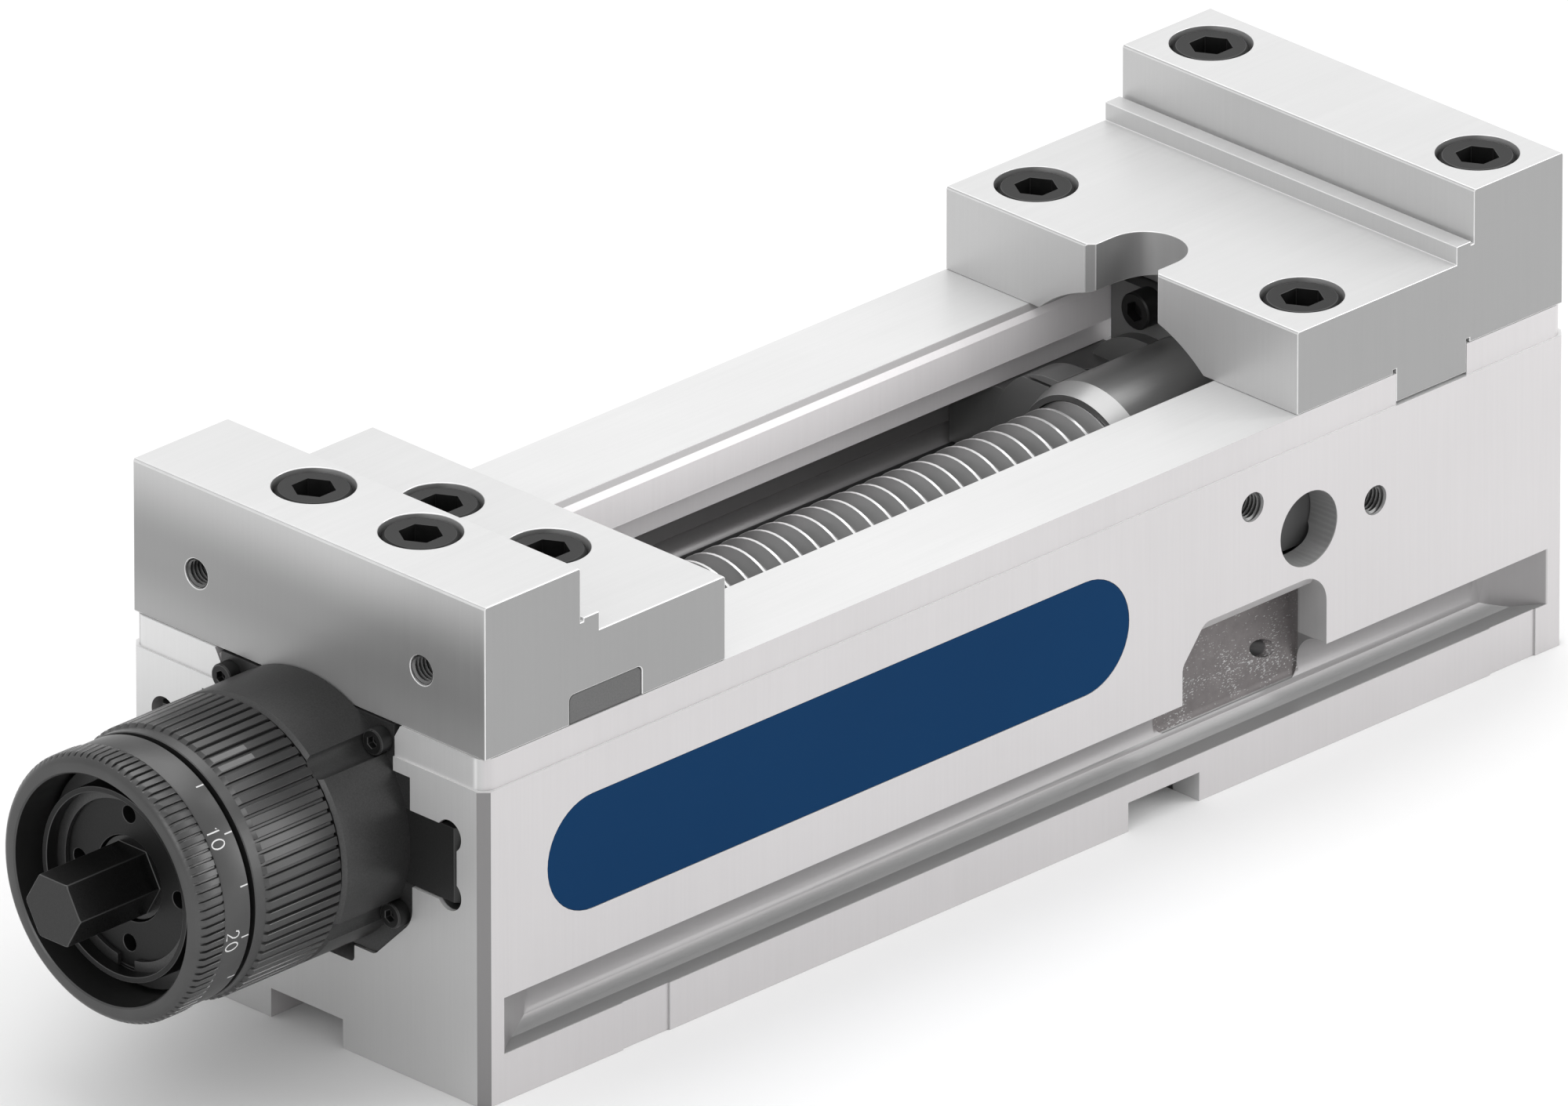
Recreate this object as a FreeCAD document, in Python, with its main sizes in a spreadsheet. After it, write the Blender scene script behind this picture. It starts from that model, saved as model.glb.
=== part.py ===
# Machine vise for milling from five sides, in millimetres.
# A fixed stepped jaw is bolted across the far end of a long steel body. The movable stepped
# jaw rides on the body's two ways, bolted to a slide that runs in a channel between them.
# A screw drawn through a nut under the fixed jaw moves the slide, and the drive unit on the
# screw's near end, with a clamping-force ring, travels into the channel with it.
# Frame: origin in the middle of the base face, X along the screw towards the fixed jaw, Z up.
import FreeCAD, Part
import math
import os

import Sketcher

SIZES = {
    # Body block and its two ways
    "body_length": 387.0,
    "body_overhang": 0.6,
    "body_rise": 32.0,
    "body_corner": 2.5,
    "way_height": 8.6,
    "way_inset": 0.6,
    "way_corner": 4.2,
    # Channel between the ways: half widths from its middle, levels from the screw's axis
    "rail_half": 31.0,
    "mouth_bevel": 1.9,
    "mouth_bevel_height": 3.3,
    "undercut_half": 37.0,
    "undercut_rise": 19.5,
    "guide_wall": 9.6,
    "guide_rise": 10.5,
    "guide_drop": 10.5,
    "guide_relief_radius": 4.3,
    "guide_relief_inset": 2.7,
    "guide_relief_drop": 2.4,
    "lower_half": 37.7,
    "slope_drop": 20.1,
    "slope_blend": 8.0,
    "floor_drop": 33.5,
    "floor_blend": 3.0,
    "chip_slot_half": 17.0,
    "chip_slot_depth": 4.7,
    "chip_slot_blend": 1.5,
    # Base face and sides
    "key_slot_width": 25.6,
    "key_slot_depth": 8.0,
    "cross_slot_width": 25.5,
    "cross_slot_from_rear": 145.8,
    "groove_top": 28.6,
    "groove_ledge": 13.1,
    "groove_radius": 8.25,
    "groove_centre_depth": 2.3,
    "groove_end": 7.0,
    "groove_cutter_radius": 44.0,
    "groove_cutter_depth": 11.0,
    "foot_pocket_width": 16.5,
    "foot_pocket_depth": 0.5,
    "foot_pocket_inner": 57.0,
    "foot_pocket_outer": 19.5,
    "recess_from_rear": 139.2,
    "recess_length": 51.9,
    "recess_bottom": 16.6,
    "recess_drop": 14.3,
    "recess_depth_share": 0.425,
    "recess_lean_share": 0.146,
    "recess_roof_share": 0.185,
    "recess_blend": 2.5,
    "recess_corner": 8.5,
    "recess_bevel": 8.0,
    "recess_bevel_drop": 10.0,
    "recess_sill_corner": 4.0,
    "drain_radius": 2.4,
    "drain_from_rear": 98.3,
    "drain_drop": 3.0,
    "drain_sink": 1.5,
    "drain_start": 5.0,
    "drain_run": 36.4,
    "drain_inward": 24.8,
    "drain_climb": 9.0,
    "side_hole_radius": 10.25,
    "side_hole_from_rear": 93.85,
    "side_hole_drop": 0.5,
    "stop_thread_radius": 4.0,
    "stop_thread_depth": 7.5,
    "stop_thread_reach": 24.0,
    "stop_thread_angle": 32.0,
    "label_from_front": 22.3,
    "label_gap": 19.2,
    "label_height": 31.7,
    "label_drop": 4.6,
    "label_depth": 0.8,
    # Jaws
    "jaw_width": 125.0,
    "jaw_height": 42.0,
    "jaw_low_step": 23.0,
    "jaw_ledge": 28.0,
    "step_relief": 1.0,
    "jaw_edge": 0.5,
    "key_depth": 8.0,
    "key_relief": 1.2,
    "front_setback": 1.2,
    "rear_setback": 1.7,
    "movable_length": 84.3,
    "movable_low_length": 44.2,
    "movable_ledge_length": 6.6,
    "movable_key_place": 29.5,
    "movable_key_width": 25.5,
    "key_corner": 1.6,
    "key_boss_depth": 3.5,
    "key_bar_inset": 0.2,
    "movable_front_screw": 20.6,
    "movable_rear_screw": 65.2,
    "movable_screw_half": 19.0,
    "face_thread_radius": 4.0,
    "face_thread_depth": 16.0,
    "face_thread_edge": 22.5,
    "face_thread_level": 17.5,
    "fixed_length": 95.9,
    "fixed_low_length": 57.4,
    "fixed_ledge_length": 6.2,
    "fixed_key_place": 35.8,
    "fixed_key_width": 25.3,
    "fixed_front_screw": 17.1,
    "fixed_rear_screw": 80.3,
    "fixed_screw_edge": 15.2,
    "notch_half": 11.0,
    "notch_length": 19.3,
    "notch_flare": 2.0,
    "bore_relief_radius": 43.4,
    "bore_relief_length": 32.0,
    # Jaw screws, M12 with a low wide head
    "jaw_head_radius": 9.8,
    "jaw_head_height": 12.0,
    "jaw_head_sink": 0.6,
    "jaw_bolt_radius": 6.0,
    "jaw_bolt_engagement": 10.0,
    "jaw_hex": 10.0,
    "counterbore_gap": 1.0,
    # Slide, its guide wings and the nut carrier
    "slide_gap": 0.3,
    "way_gap": 0.1,
    "guide_gap": 0.2,
    "slide_front": 0.7,
    "slide_length": 76.5,
    "wing_root": 30.0,
    "wing_edge": 1.5,
    "wing_pin_radius": 2.5,
    "wing_pin_place": 20.0,
    "wing_pin_foot": 6.0,
    "wing_pin_sink": 1.0,
    "nut_entry_depth": 8.5,
    "nut_entry_gap": 0.5,
    "carrier_length": 44.05,
    "carrier_shoulder": 20.0,
    "carrier_drop": 28.0,
    "carrier_chamfer": 9.0,
    "carrier_lug": 8.0,
    "carrier_slit": 0.8,
    "carrier_slit_rise": 16.5,
    "carrier_slit_depth": 6.0,
    "carrier_flange": 10.0,
    "carrier_rear_flange": 12.0,
    "carrier_wing_start": 0.5,
    "carrier_wing_length": 39.5,
    "carrier_screw_half": 16.5,
    "carrier_screw_drop": 4.0,
    "nut_reach": 7.2,
    "nut_length": 60.0,
    "nut_radius": 23.4,
    "nut_nose": 2.0,
    "nut_nose_length": 5.5,
    "nut_pin_radius": 4.0,
    "nut_pin_half": 24.5,
    "nut_pin_place": 22.0,
    "nut_pin_foot": 4.0,
    "nut_pin_sink": 4.0,
    # Drive unit, all lengths along the screw's axis
    "axis_height": 63.5,
    "thread_radius": 19.5,
    "thread_gap": 0.3,
    "screw_bore_gap": 0.6,
    "flange_thickness": 6.0,
    "housing_radius": 36.3,
    "housing_length": 23.2,
    "housing_wall": 9.5,
    "housing_bore": 30.0,
    "housing_edge": 1.0,
    "flange_screw_circle": 38.0,
    "upper_screw_angle": 45.0,
    "lower_screw_angle": -30.0,
    "bearing_length": 6.0,
    "bearing_cage_inset": 1.2,
    "turning_gap": 0.3,
    "sleeve_radius": 36.3,
    "sleeve_length": 29.6,
    "sleeve_knurl_length": 27.4,
    "sleeve_flutes": 72.0,
    "sleeve_flute_depth": 0.9,
    "sleeve_edge": 1.0,
    "sleeve_neck_radius": 30.2,
    "sleeve_neck_length": 7.0,
    "sleeve_wall": 12.0,
    "spring_chamber": 25.0,
    "journal_radius": 15.0,
    "journal_fit": 0.15,
    "journal_length": 30.5,
    "spindle_edge": 1.0,
    "bearing_gap": 0.1,
    "pull_nut_radius": 22.0,
    "pull_nut_length": 8.0,
    "spring_radius": 24.5,
    "spring_sheet": 1.6,
    "spring_gap": 0.3,
    "seal_radius": 1.3,
    "ring_radius": 35.7,
    "ring_bore": 30.6,
    "ring_length": 18.2,
    "ring_knurl_length": 9.3,
    "ring_gap": 1.5,
    "ring_flutes": 96.0,
    "ring_flute_depth": 0.7,
    "ring_scale_step": 0.5,
    "flute_land": 0.6,
    "flute_floor": 0.16,
    "snap_width": 1.2,
    "snap_reach": 1.3,
    "snap_opening": 6.0,
    "detent_radius": 1.2,
    "detent_length": 6.0,
    "cup_radius": 25.8,
    "cup_wall": 1.6,
    "cup_length": 16.0,
    "cup_front": 14.7,
    "disc_depth": 5.2,
    "disc_thickness": 5.8,
    "disc_bore": 11.4,
    "pin_hole_radius": 2.25,
    "pin_hole_circle": 17.65,
    "pin_hole_depth": 4.0,
    "circlip_width": 1.4,
    "circlip_reach": 2.75,
    "hex_flats": 17.0,
    "hex_end_radius": 9.35,
    "hex_reach": 21.35,
    "hex_bevel_slope": 0.6,
    "hex_journal_sink": 1.0,
    "hex_journal_radius": 11.1,
    "plunger_seat": 10.0,
    "hex_collar_radius": 13.0,
    "hex_collar_length": 4.0,
    "hex_nose_radius": 8.0,
    "hex_nose_length": 4.0,
    "plunger_radius": 6.0,
    # Small screws
    "small_bolt_radius": 3.0,
    "small_head_radius": 5.0,
    "small_head_height": 6.0,
    "small_hex": 5.0,
    "small_engagement": 12.0,
    "flange_bolt_radius": 2.0,
    "flange_head_radius": 3.5,
    "flange_head_height": 4.0,
    "flange_hex": 3.0,
    "flange_head_gap": 0.4,
    "screw_fit": 0.1,
    "screw_edge_share": 0.08,
    "socket_share": 0.5,
    # How far a cut starts outside the face that it enters
    "overcut": 1.0,
}

doc = FreeCAD.newDocument("machine_vise")
sheet = doc.addObject("Spreadsheet::Sheet", "Sizes")
for row, (alias, number) in enumerate(SIZES.items(), start=1):
    sheet.set(f"A{row}", alias)
    sheet.set(f"B{row}", str(number))
    sheet.setAlias(f"B{row}", alias)
doc.recompute()


class Size:
    """A number worked out from the sheet, with the formula that keeps it in step."""

    def __init__(self, value, formula):
        self.value = value
        self.formula = formula

    def __add__(self, other):
        other = size(other)
        return Size(self.value + other.value, f"({self.formula} + {other.formula})")

    def __sub__(self, other):
        other = size(other)
        return Size(self.value - other.value, f"({self.formula} - {other.formula})")

    def __mul__(self, other):
        other = size(other)
        return Size(self.value * other.value, f"({self.formula} * {other.formula})")

    def __truediv__(self, other):
        other = size(other)
        return Size(self.value / other.value, f"({self.formula} / {other.formula})")

    def __neg__(self):
        return self * -1

    def __radd__(self, other):
        return size(other) + self

    def __rsub__(self, other):
        return size(other) - self

    def __rmul__(self, other):
        return size(other) * self


def size(thing):
    """The thing itself if it is a Size, or a plain number made into one."""
    if isinstance(thing, Size):
        return thing
    return Size(float(thing), f"{float(thing):.9f}")


def root(amount):
    """The square root of a Size."""
    return Size(math.sqrt(amount.value), f"sqrt({amount.formula})")


def cosine(amount):
    """The cosine of an angle in degrees."""
    return Size(math.cos(math.radians(amount.value)), f"cos({amount.formula})")


def sine(amount):
    """The sine of an angle in degrees."""
    return Size(math.sin(math.radians(amount.value)), f"sin({amount.formula})")


class Sheet:
    """The sheet's cells by alias."""

    def __getattr__(self, alias):
        return Size(float(sheet.get(alias)), f"Sizes.{alias}")


S = Sheet()
NODES = []


def bind(thing, path, amount):
    """Ties one property of a document object to a Size."""
    thing.setExpression(path, size(amount).formula)


def node(thing, label):
    """Names an object as one of the vise's pieces."""
    thing.Label = label
    NODES.append(thing)
    return thing


def fillet_corners(corners):
    """The outline's vertices, each with the arc that leads to it, if a corner is rounded."""
    steps = []
    for index, corner in enumerate(corners):
        across, up = size(corner[0]), size(corner[1])
        if len(corner) == 2:
            steps.append((across, up, None))
            continue
        if len(corner) == 4:
            steps.append((across, up, (size(corner[2]), corner[3])))
            continue
        before, after = corners[index - 1], corners[(index + 1) % len(corners)]
        came = FreeCAD.Vector(across.value - size(before[0]).value, up.value - size(before[1]).value)
        goes = FreeCAD.Vector(size(after[0]).value - across.value, size(after[1]).value - up.value)
        came.normalize()
        goes.normalize()
        turn = math.atan2(came.x * goes.y - came.y * goes.x, came.dot(goes))
        radius = size(corner[2])
        tangent = radius * math.tan(abs(turn) / 2)
        steps.append((across - came.x * tangent, up - came.y * tangent, None))
        steps.append((across + goes.x * tangent, up + goes.y * tangent, (radius, turn)))
    return steps


def new_sketch(body, name, plane, at=0, lift=0):
    """An empty sketch in one of the body's planes, moved along the plane's axis to a place."""
    role = f"{plane}_Plane"
    support = [one for one in body.Origin.OriginFeatures if one.Role == role][0]
    sketch = body.newObject("Sketcher::SketchObject", name)
    sketch.AttachmentSupport = [(support, "")]
    sketch.MapMode = "FlatFace"
    along = -size(at) if plane == "XZ" else size(at)
    bind(sketch, "AttachmentOffset.Base.z", along)
    bind(sketch, "AttachmentOffset.Base.y", lift)
    return sketch


def hold(sketch, dimensions):
    """The dimensions of a sketch, each (kind, where, amount), tied to their Sizes."""
    first = sketch.ConstraintCount
    sketch.addConstraint([Sketcher.Constraint(kind, *where, size(amount).value)
                          for kind, where, amount in dimensions])
    for number, (_, _, amount) in enumerate(dimensions, start=first):
        bind(sketch, f"Constraints[{number}]", amount)


def add_outline(sketch, corners):
    """A closed outline; a corner is (across, up), (across, up, rounding radius) or, where an arc
    leads to it, (across, up, arc radius, 1 if the arc turns left or -1 if it turns right)."""
    steps = fillet_corners(corners)
    edges = []
    for index, (across, up, arc) in enumerate(steps):
        before = steps[index - 1]
        start = FreeCAD.Vector(before[0].value, before[1].value, 0)
        end = FreeCAD.Vector(across.value, up.value, 0)
        if (end - start).Length < 1e-6:
            continue
        if arc is None:
            number = sketch.addGeometry(Part.LineSegment(start, end))
            edges.append((number, 1, 2, steps[index], None))
            continue
        radius, turn = arc
        chord = end - start
        side = FreeCAD.Vector(-chord.y, chord.x, 0).normalize() * math.copysign(1, turn)
        centre = (start + end) / 2 + side * math.sqrt(max(radius.value**2 - chord.Length**2 / 4, 0))
        first, last = (start, end) if turn > 0 else (end, start)
        angles = [math.atan2(spot.y - centre.y, spot.x - centre.x) for spot in (first, last)]
        circle = Part.Circle(centre, FreeCAD.Vector(0, 0, 1), radius.value)
        number = sketch.addGeometry(Part.ArcOfCircle(circle, angles[0], angles[1]))
        begins, ends = (1, 2) if turn > 0 else (2, 1)
        edges.append((number, begins, ends, steps[index], radius))
    joins = []
    dimensions = []
    for index, (number, begins, ends, step, radius) in enumerate(edges):
        following = edges[(index + 1) % len(edges)]
        joins.append(Sketcher.Constraint("Coincident", number, ends, following[0], following[1]))
        dimensions.append(("DistanceX", (number, ends), step[0]))
        dimensions.append(("DistanceY", (number, ends), step[1]))
        if radius is not None:
            dimensions.append(("Radius", (number,), radius))
    sketch.addConstraint(joins)
    hold(sketch, dimensions)


def add_circles(sketch, centres, radius):
    """Round holes of one radius."""
    dimensions = []
    for across, up in centres:
        centre = FreeCAD.Vector(size(across).value, size(up).value, 0)
        circle = Part.Circle(centre, FreeCAD.Vector(0, 0, 1), size(radius).value)
        number = sketch.addGeometry(circle)
        dimensions.append(("DistanceX", (number, 3), across))
        dimensions.append(("DistanceY", (number, 3), up))
        dimensions.append(("Radius", (number,), radius))
    hold(sketch, dimensions)


def new_body(name):
    """An empty body."""
    return doc.addObject("PartDesign::Body", name)


def pad(body, sketch, length, both_ways=False, backwards=False):
    """Adds the sketch's area, drawn out along its plane's normal."""
    feature = body.newObject("PartDesign::Pad", f"{sketch.Name}_pad")
    feature.Profile = sketch
    feature.SideType = "Symmetric" if both_ways else "One side"
    feature.Reversed = backwards
    bind(feature, "Length", length)
    return feature


def pocket(body, sketch, depth=None, both_ways=False, backwards=False):
    """Cuts the sketch's area out, against its plane's normal, right through if no depth is given."""
    feature = body.newObject("PartDesign::Pocket", f"{sketch.Name}_pocket")
    feature.Profile = sketch
    feature.SideType = "Symmetric" if both_ways else "One side"
    feature.Reversed = backwards
    if depth is None:
        feature.Type = "ThroughAll"
    else:
        bind(feature, "Length", depth)
    return feature


def turned(body, name, corners):
    """Turns an outline of (along, radius) corners about the screw's axis."""
    sketch = new_sketch(body, name, "XZ", lift=S.axis_height)
    add_outline(sketch, corners)
    feature = body.newObject("PartDesign::Revolution", f"{name}_turned")
    feature.Profile = sketch
    feature.ReferenceAxis = (sketch, ["H_Axis"])
    feature.Angle = 360
    return feature


def hexagon(across_flats, middle_across=0, middle_up=0):
    """The six corners of a hexagon with two flats level."""
    reach = across_flats / math.sqrt(3)
    corners = []
    for step in range(6):
        angle = math.radians(60 * step)
        corners.append((middle_across + reach * math.cos(angle), middle_up + reach * math.sin(angle)))
    return corners


def mirrored(points):
    """The points of a right half outline, and then their mirror images in reverse."""
    left = [(-size(point[0]), *point[1:]) for point in reversed(points)]
    return list(points) + left


def box_outline(low_across, high_across, low_up, high_up):
    """The corners of a rectangle."""
    return [(low_across, low_up), (high_across, low_up), (high_across, high_up), (low_across, high_up)]


# Widths that follow the jaws, and levels that follow the screw's axis
body_width = S.jaw_width + 2 * S.body_overhang
side = body_width / 2
guide_half = side - S.guide_wall
fixed_screw_half = S.jaw_width / 2 - S.fixed_screw_edge
face_thread_half = S.jaw_width / 2 - S.face_thread_edge
rail_wall = side - S.lower_half
recess_depth = rail_wall * S.recess_depth_share
recess_lean = rail_wall * S.recess_lean_share
recess_roof = rail_wall * S.recess_roof_share
body_height = S.axis_height + S.body_rise
undercut_top = S.axis_height + S.undercut_rise
guide_top = S.axis_height + S.guide_rise
guide_bottom = S.axis_height - S.guide_drop
slope_level = S.axis_height - S.slope_drop
floor_level = S.axis_height - S.floor_drop
chip_slot_level = floor_level - S.chip_slot_depth
recess_top = S.axis_height - S.recess_drop
drain_level = floor_level - S.drain_drop
stop_level = S.axis_height - S.side_hole_drop
label_level = S.axis_height - S.label_drop
carrier_bottom = S.axis_height - S.carrier_drop
carrier_slit_level = S.axis_height + S.carrier_slit_rise

# Places along the body
body_front = -S.body_length / 2
body_rear = S.body_length / 2
movable_front = body_front + S.front_setback
movable_face = movable_front + S.movable_length
fixed_rear = body_rear - S.rear_setback
fixed_face = fixed_rear - S.fixed_length
way_foot = body_height - S.way_height
seat_level = body_height + S.way_gap
slide_front = body_front + S.slide_front
block_front = slide_front + S.flange_thickness
slide_rear = slide_front + S.slide_length
fixed_key_front = fixed_face + S.fixed_key_place
movable_key_front = movable_front + S.movable_key_place
carrier_rear = fixed_key_front - S.slide_gap
carrier_start = carrier_rear - S.carrier_length
nut_front = carrier_start - S.nut_reach
cross_slot_place = body_rear - S.cross_slot_from_rear
groove_half_length = body_rear - S.groove_end
foot_pocket_near = body_rear - S.foot_pocket_inner
foot_pocket_far = body_rear - S.foot_pocket_outer
recess_start = body_rear - S.recess_from_rear
drain_place = body_rear - S.drain_from_rear
stop_place = body_rear - S.side_hole_from_rear
label_start = body_front + S.label_from_front
label_length = recess_start - S.label_gap - label_start


def channel_half(gap=0):
    """The right half of the channel's section, or of what slides in it at a gap from its walls."""
    slope = math.tan(math.radians(22.5))
    wall = S.lower_half - gap
    slope_top = slope_level + size(gap) * slope
    floor = floor_level + gap
    return wall, slope_top, floor


def slide_section(top, root_half):
    """Section of the slide: a neck between the ways, grooves for the wings and a sloped foot."""
    gap = S.slide_gap
    wall, slope_top, floor = channel_half(gap)
    half = [
        (wall - (slope_top - floor), floor, S.floor_blend),
        (wall, slope_top, S.slope_blend),
        (wall, guide_bottom + S.guide_gap),
        (root_half, guide_bottom + S.guide_gap),
        (root_half, guide_top - S.guide_gap),
        (S.undercut_half - gap, guide_top - S.guide_gap),
        (S.undercut_half - gap, undercut_top - gap),
        (S.rail_half - gap, undercut_top - gap),
        (S.rail_half - gap, top),
    ]
    return mirrored(half)


def build_block():
    """The body: a long block with a shaped channel, key slots, a label seat and holes."""
    body = new_body("block")
    foot = new_sketch(body, "block_plan", "XY")
    corner = S.body_corner
    plan = []
    for across, up in ((1, -1), (1, 1), (-1, 1), (-1, -1)):
        ends = [(across * (body_rear - corner), up * side), (across * body_rear, up * (side - corner))]
        plan += ends if across * up < 0 else ends[::-1]
    add_outline(foot, plan)
    pad(body, foot, way_foot)
    way = new_sketch(body, "way_plan", "XY", at=way_foot)
    way_end, way_side = body_rear - S.way_inset, side - S.way_inset
    rounded = S.way_corner
    add_outline(way, [(one * way_end, other * way_side, rounded)
                      for one, other in ((-1, -1), (1, -1), (1, 1), (-1, 1))])
    pad(body, way, S.way_height)

    wall, slope_top, floor = channel_half()
    mouth = S.rail_half + S.mouth_bevel
    channel = new_sketch(body, "channel_section", "YZ")
    add_outline(channel, mirrored([
        (S.chip_slot_half, chip_slot_level, S.chip_slot_blend),
        (S.chip_slot_half, floor),
        (wall - (slope_top - floor), floor, S.floor_blend),
        (wall, slope_top, S.slope_blend),
        (wall, guide_bottom),
        (guide_half, guide_bottom),
        (guide_half, guide_top),
        (S.undercut_half, guide_top),
        (S.undercut_half, undercut_top),
        (S.rail_half, undercut_top),
        (S.rail_half, body_height - S.mouth_bevel_height),
        (mouth, body_height),
    ]))
    pocket(body, channel, both_ways=True)
    reliefs = new_sketch(body, "guide_reliefs", "YZ")
    relief_half = guide_half - S.guide_relief_inset
    add_circles(reliefs, [(sign * relief_half, level)
                          for sign in (-1, 1)
                          for level in (guide_top - S.guide_relief_drop,
                                        guide_bottom + S.guide_relief_drop)],
                S.guide_relief_radius)
    pocket(body, reliefs, both_ways=True)

    key_slot = new_sketch(body, "key_slot", "YZ")
    add_outline(key_slot, box_outline(-S.key_slot_width / 2, S.key_slot_width / 2, 0, S.key_slot_depth))
    pocket(body, key_slot, both_ways=True)
    cross_slot = new_sketch(body, "cross_slot", "XZ")
    add_outline(cross_slot, box_outline(cross_slot_place - S.cross_slot_width / 2,
                                        cross_slot_place + S.cross_slot_width / 2,
                                        0, S.key_slot_depth))
    pocket(body, cross_slot, both_ways=True)
    jaw_seat = new_sketch(body, "jaw_key_seat", "XZ")
    add_outline(jaw_seat, box_outline(fixed_key_front - S.screw_fit,
                                      fixed_key_front + S.fixed_key_width + S.screw_fit,
                                      way_foot, body_height + S.overcut))
    pocket(body, jaw_seat, both_ways=True)

    screw_holes = new_sketch(body, "fixed_screw_holes", "XY", at=body_height)
    add_circles(screw_holes, [(fixed_face + along, sign * fixed_screw_half)
                              for along in (S.fixed_front_screw, S.fixed_rear_screw)
                              for sign in (-1, 1)], S.jaw_bolt_radius + S.screw_fit)
    pocket(body, screw_holes, S.jaw_bolt_engagement + S.counterbore_gap)

    for flank, outwards in (("right", -1), ("left", 1)):
        face = outwards * side
        backwards = outwards > 0
        stop_hole = new_sketch(body, f"stop_hole_{flank}", "XZ", at=face)
        add_circles(stop_hole, [(stop_place, stop_level)], S.side_hole_radius)
        pocket(body, stop_hole, side - guide_half + S.overcut, backwards=backwards)
        threads = new_sketch(body, f"stop_threads_{flank}", "XZ", at=face)
        leaning = S.stop_thread_angle
        add_circles(threads, [
            (stop_place + S.stop_thread_reach, stop_level),
            (stop_place - S.stop_thread_reach * cosine(leaning),
             stop_level + S.stop_thread_reach * sine(leaning)),
        ], S.stop_thread_radius)
        pocket(body, threads, S.stop_thread_depth, backwards=backwards)
        feet = new_sketch(body, f"foot_pockets_{flank}", "XZ", at=face)
        for place in (-foot_pocket_near, foot_pocket_far):
            add_outline(feet, box_outline(place - S.foot_pocket_width / 2, place + S.foot_pocket_width / 2,
                                          -S.overcut, S.groove_ledge + S.overcut))
        pocket(body, feet, S.foot_pocket_depth, backwards=backwards)

    label = new_sketch(body, "label_seat", "XZ", at=-side)
    add_outline(label, label_outline(0))
    pocket(body, label, S.label_depth)
    return body


def label_outline(inset):
    """The long outline with round ends of the label and its seat."""
    radius = S.label_height / 2 - inset
    start, end = label_start + inset, label_start + label_length - inset
    low, high = label_level - radius, label_level + radius
    return [(start, low, radius), (end, low, radius), (end, high, radius), (start, high, radius)]


def build_side_groove():
    """What the clamping groove takes out of the right side: a round cove that runs out at its ends."""
    outside = -side - S.overcut
    cove = new_body("groove_cove")
    section = new_sketch(cove, "cove_section", "YZ")
    circle, lean = S.groove_radius, S.groove_centre_depth
    middle = S.groove_top - root(circle * circle - lean * lean)
    drop = middle - S.groove_ledge
    ledge_inner = -side + lean + root(circle * circle - drop * drop)
    add_outline(section, [
        (outside, S.groove_ledge),
        (ledge_inner, S.groove_ledge),
        (-side + lean + circle, middle, circle, 1),
        (-side, S.groove_top, circle, 1),
        (outside, S.groove_top),
    ])
    pad(cove, section, S.body_length, both_ways=True)
    plan_body = new_body("groove_plan")
    plan = new_sketch(plan_body, "run_outs", "XY")
    depth, cutter = S.groove_cutter_depth, S.groove_cutter_radius
    reach = root(cutter * cutter - (cutter - depth) * (cutter - depth))
    end = groove_half_length
    wall = -side + depth
    add_outline(plan, [
        (end - reach, wall),
        (end, -side, cutter, -1),
        (end, outside),
        (-end, outside),
        (-end, -side),
        (reach - end, wall, cutter, -1),
    ])
    pad(plan_body, plan, S.groove_top + S.overcut)
    groove = doc.addObject("Part::MultiCommon", "side_groove")
    groove.Shapes = [cove, plan_body]
    return groove


def build_chip_recess():
    """What the recess below the round hole takes out of the right side: its back wall leans inwards,
    and its roof slopes out to the face."""
    outside = -side - S.overcut
    back, lean = -side + recess_depth, recess_lean
    bottom, top, roof = S.recess_bottom, recess_top, recess_roof
    depth_body = new_body("recess_depths")
    section = new_sketch(depth_body, "recess_section", "YZ")
    add_outline(section, [
        (outside, bottom),
        (back, bottom, S.recess_blend),
        (back + lean, top - roof, S.recess_blend),
        (-side + roof, top - roof),
        (outside, top + S.overcut),
    ])
    pad(depth_body, section, S.body_length, both_ways=True)
    mouth_body = new_body("recess_mouth")
    mouth = new_sketch(mouth_body, "recess_outline", "XZ")
    start, end = recess_start, recess_start + S.recess_length
    add_outline(mouth, [
        (start, bottom, S.recess_sill_corner),
        (end, bottom, S.recess_sill_corner),
        (end, top, S.recess_corner),
        (start + S.recess_bevel, top, S.recess_sill_corner),
        (start, top - S.recess_bevel_drop, S.recess_sill_corner),
    ])
    pad(mouth_body, mouth, body_width + 2 * S.overcut, both_ways=True)
    recess = doc.addObject("Part::MultiCommon", "chip_recess")
    recess.Shapes = [depth_body, mouth_body]
    return recess


def build_drain():
    """The slanting hole from the right recess to the foot of the channel."""
    way = FreeCAD.Vector(-S.drain_run.value, S.drain_inward.value, S.drain_climb.value)
    length = way.Length
    way.normalize()
    mouth_across = -side + recess_depth + S.drain_sink
    drain = doc.addObject("Part::Cylinder", "drain")
    bind(drain, "Radius", S.drain_radius)
    bind(drain, "Height", S.drain_start + length)
    place(drain, drain_place - S.drain_start * way.x, mouth_across - S.drain_start * way.y,
          drain_level - S.drain_start * way.z, FreeCAD.Rotation(FreeCAD.Vector(0, 0, 1), way))
    return drain


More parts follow.
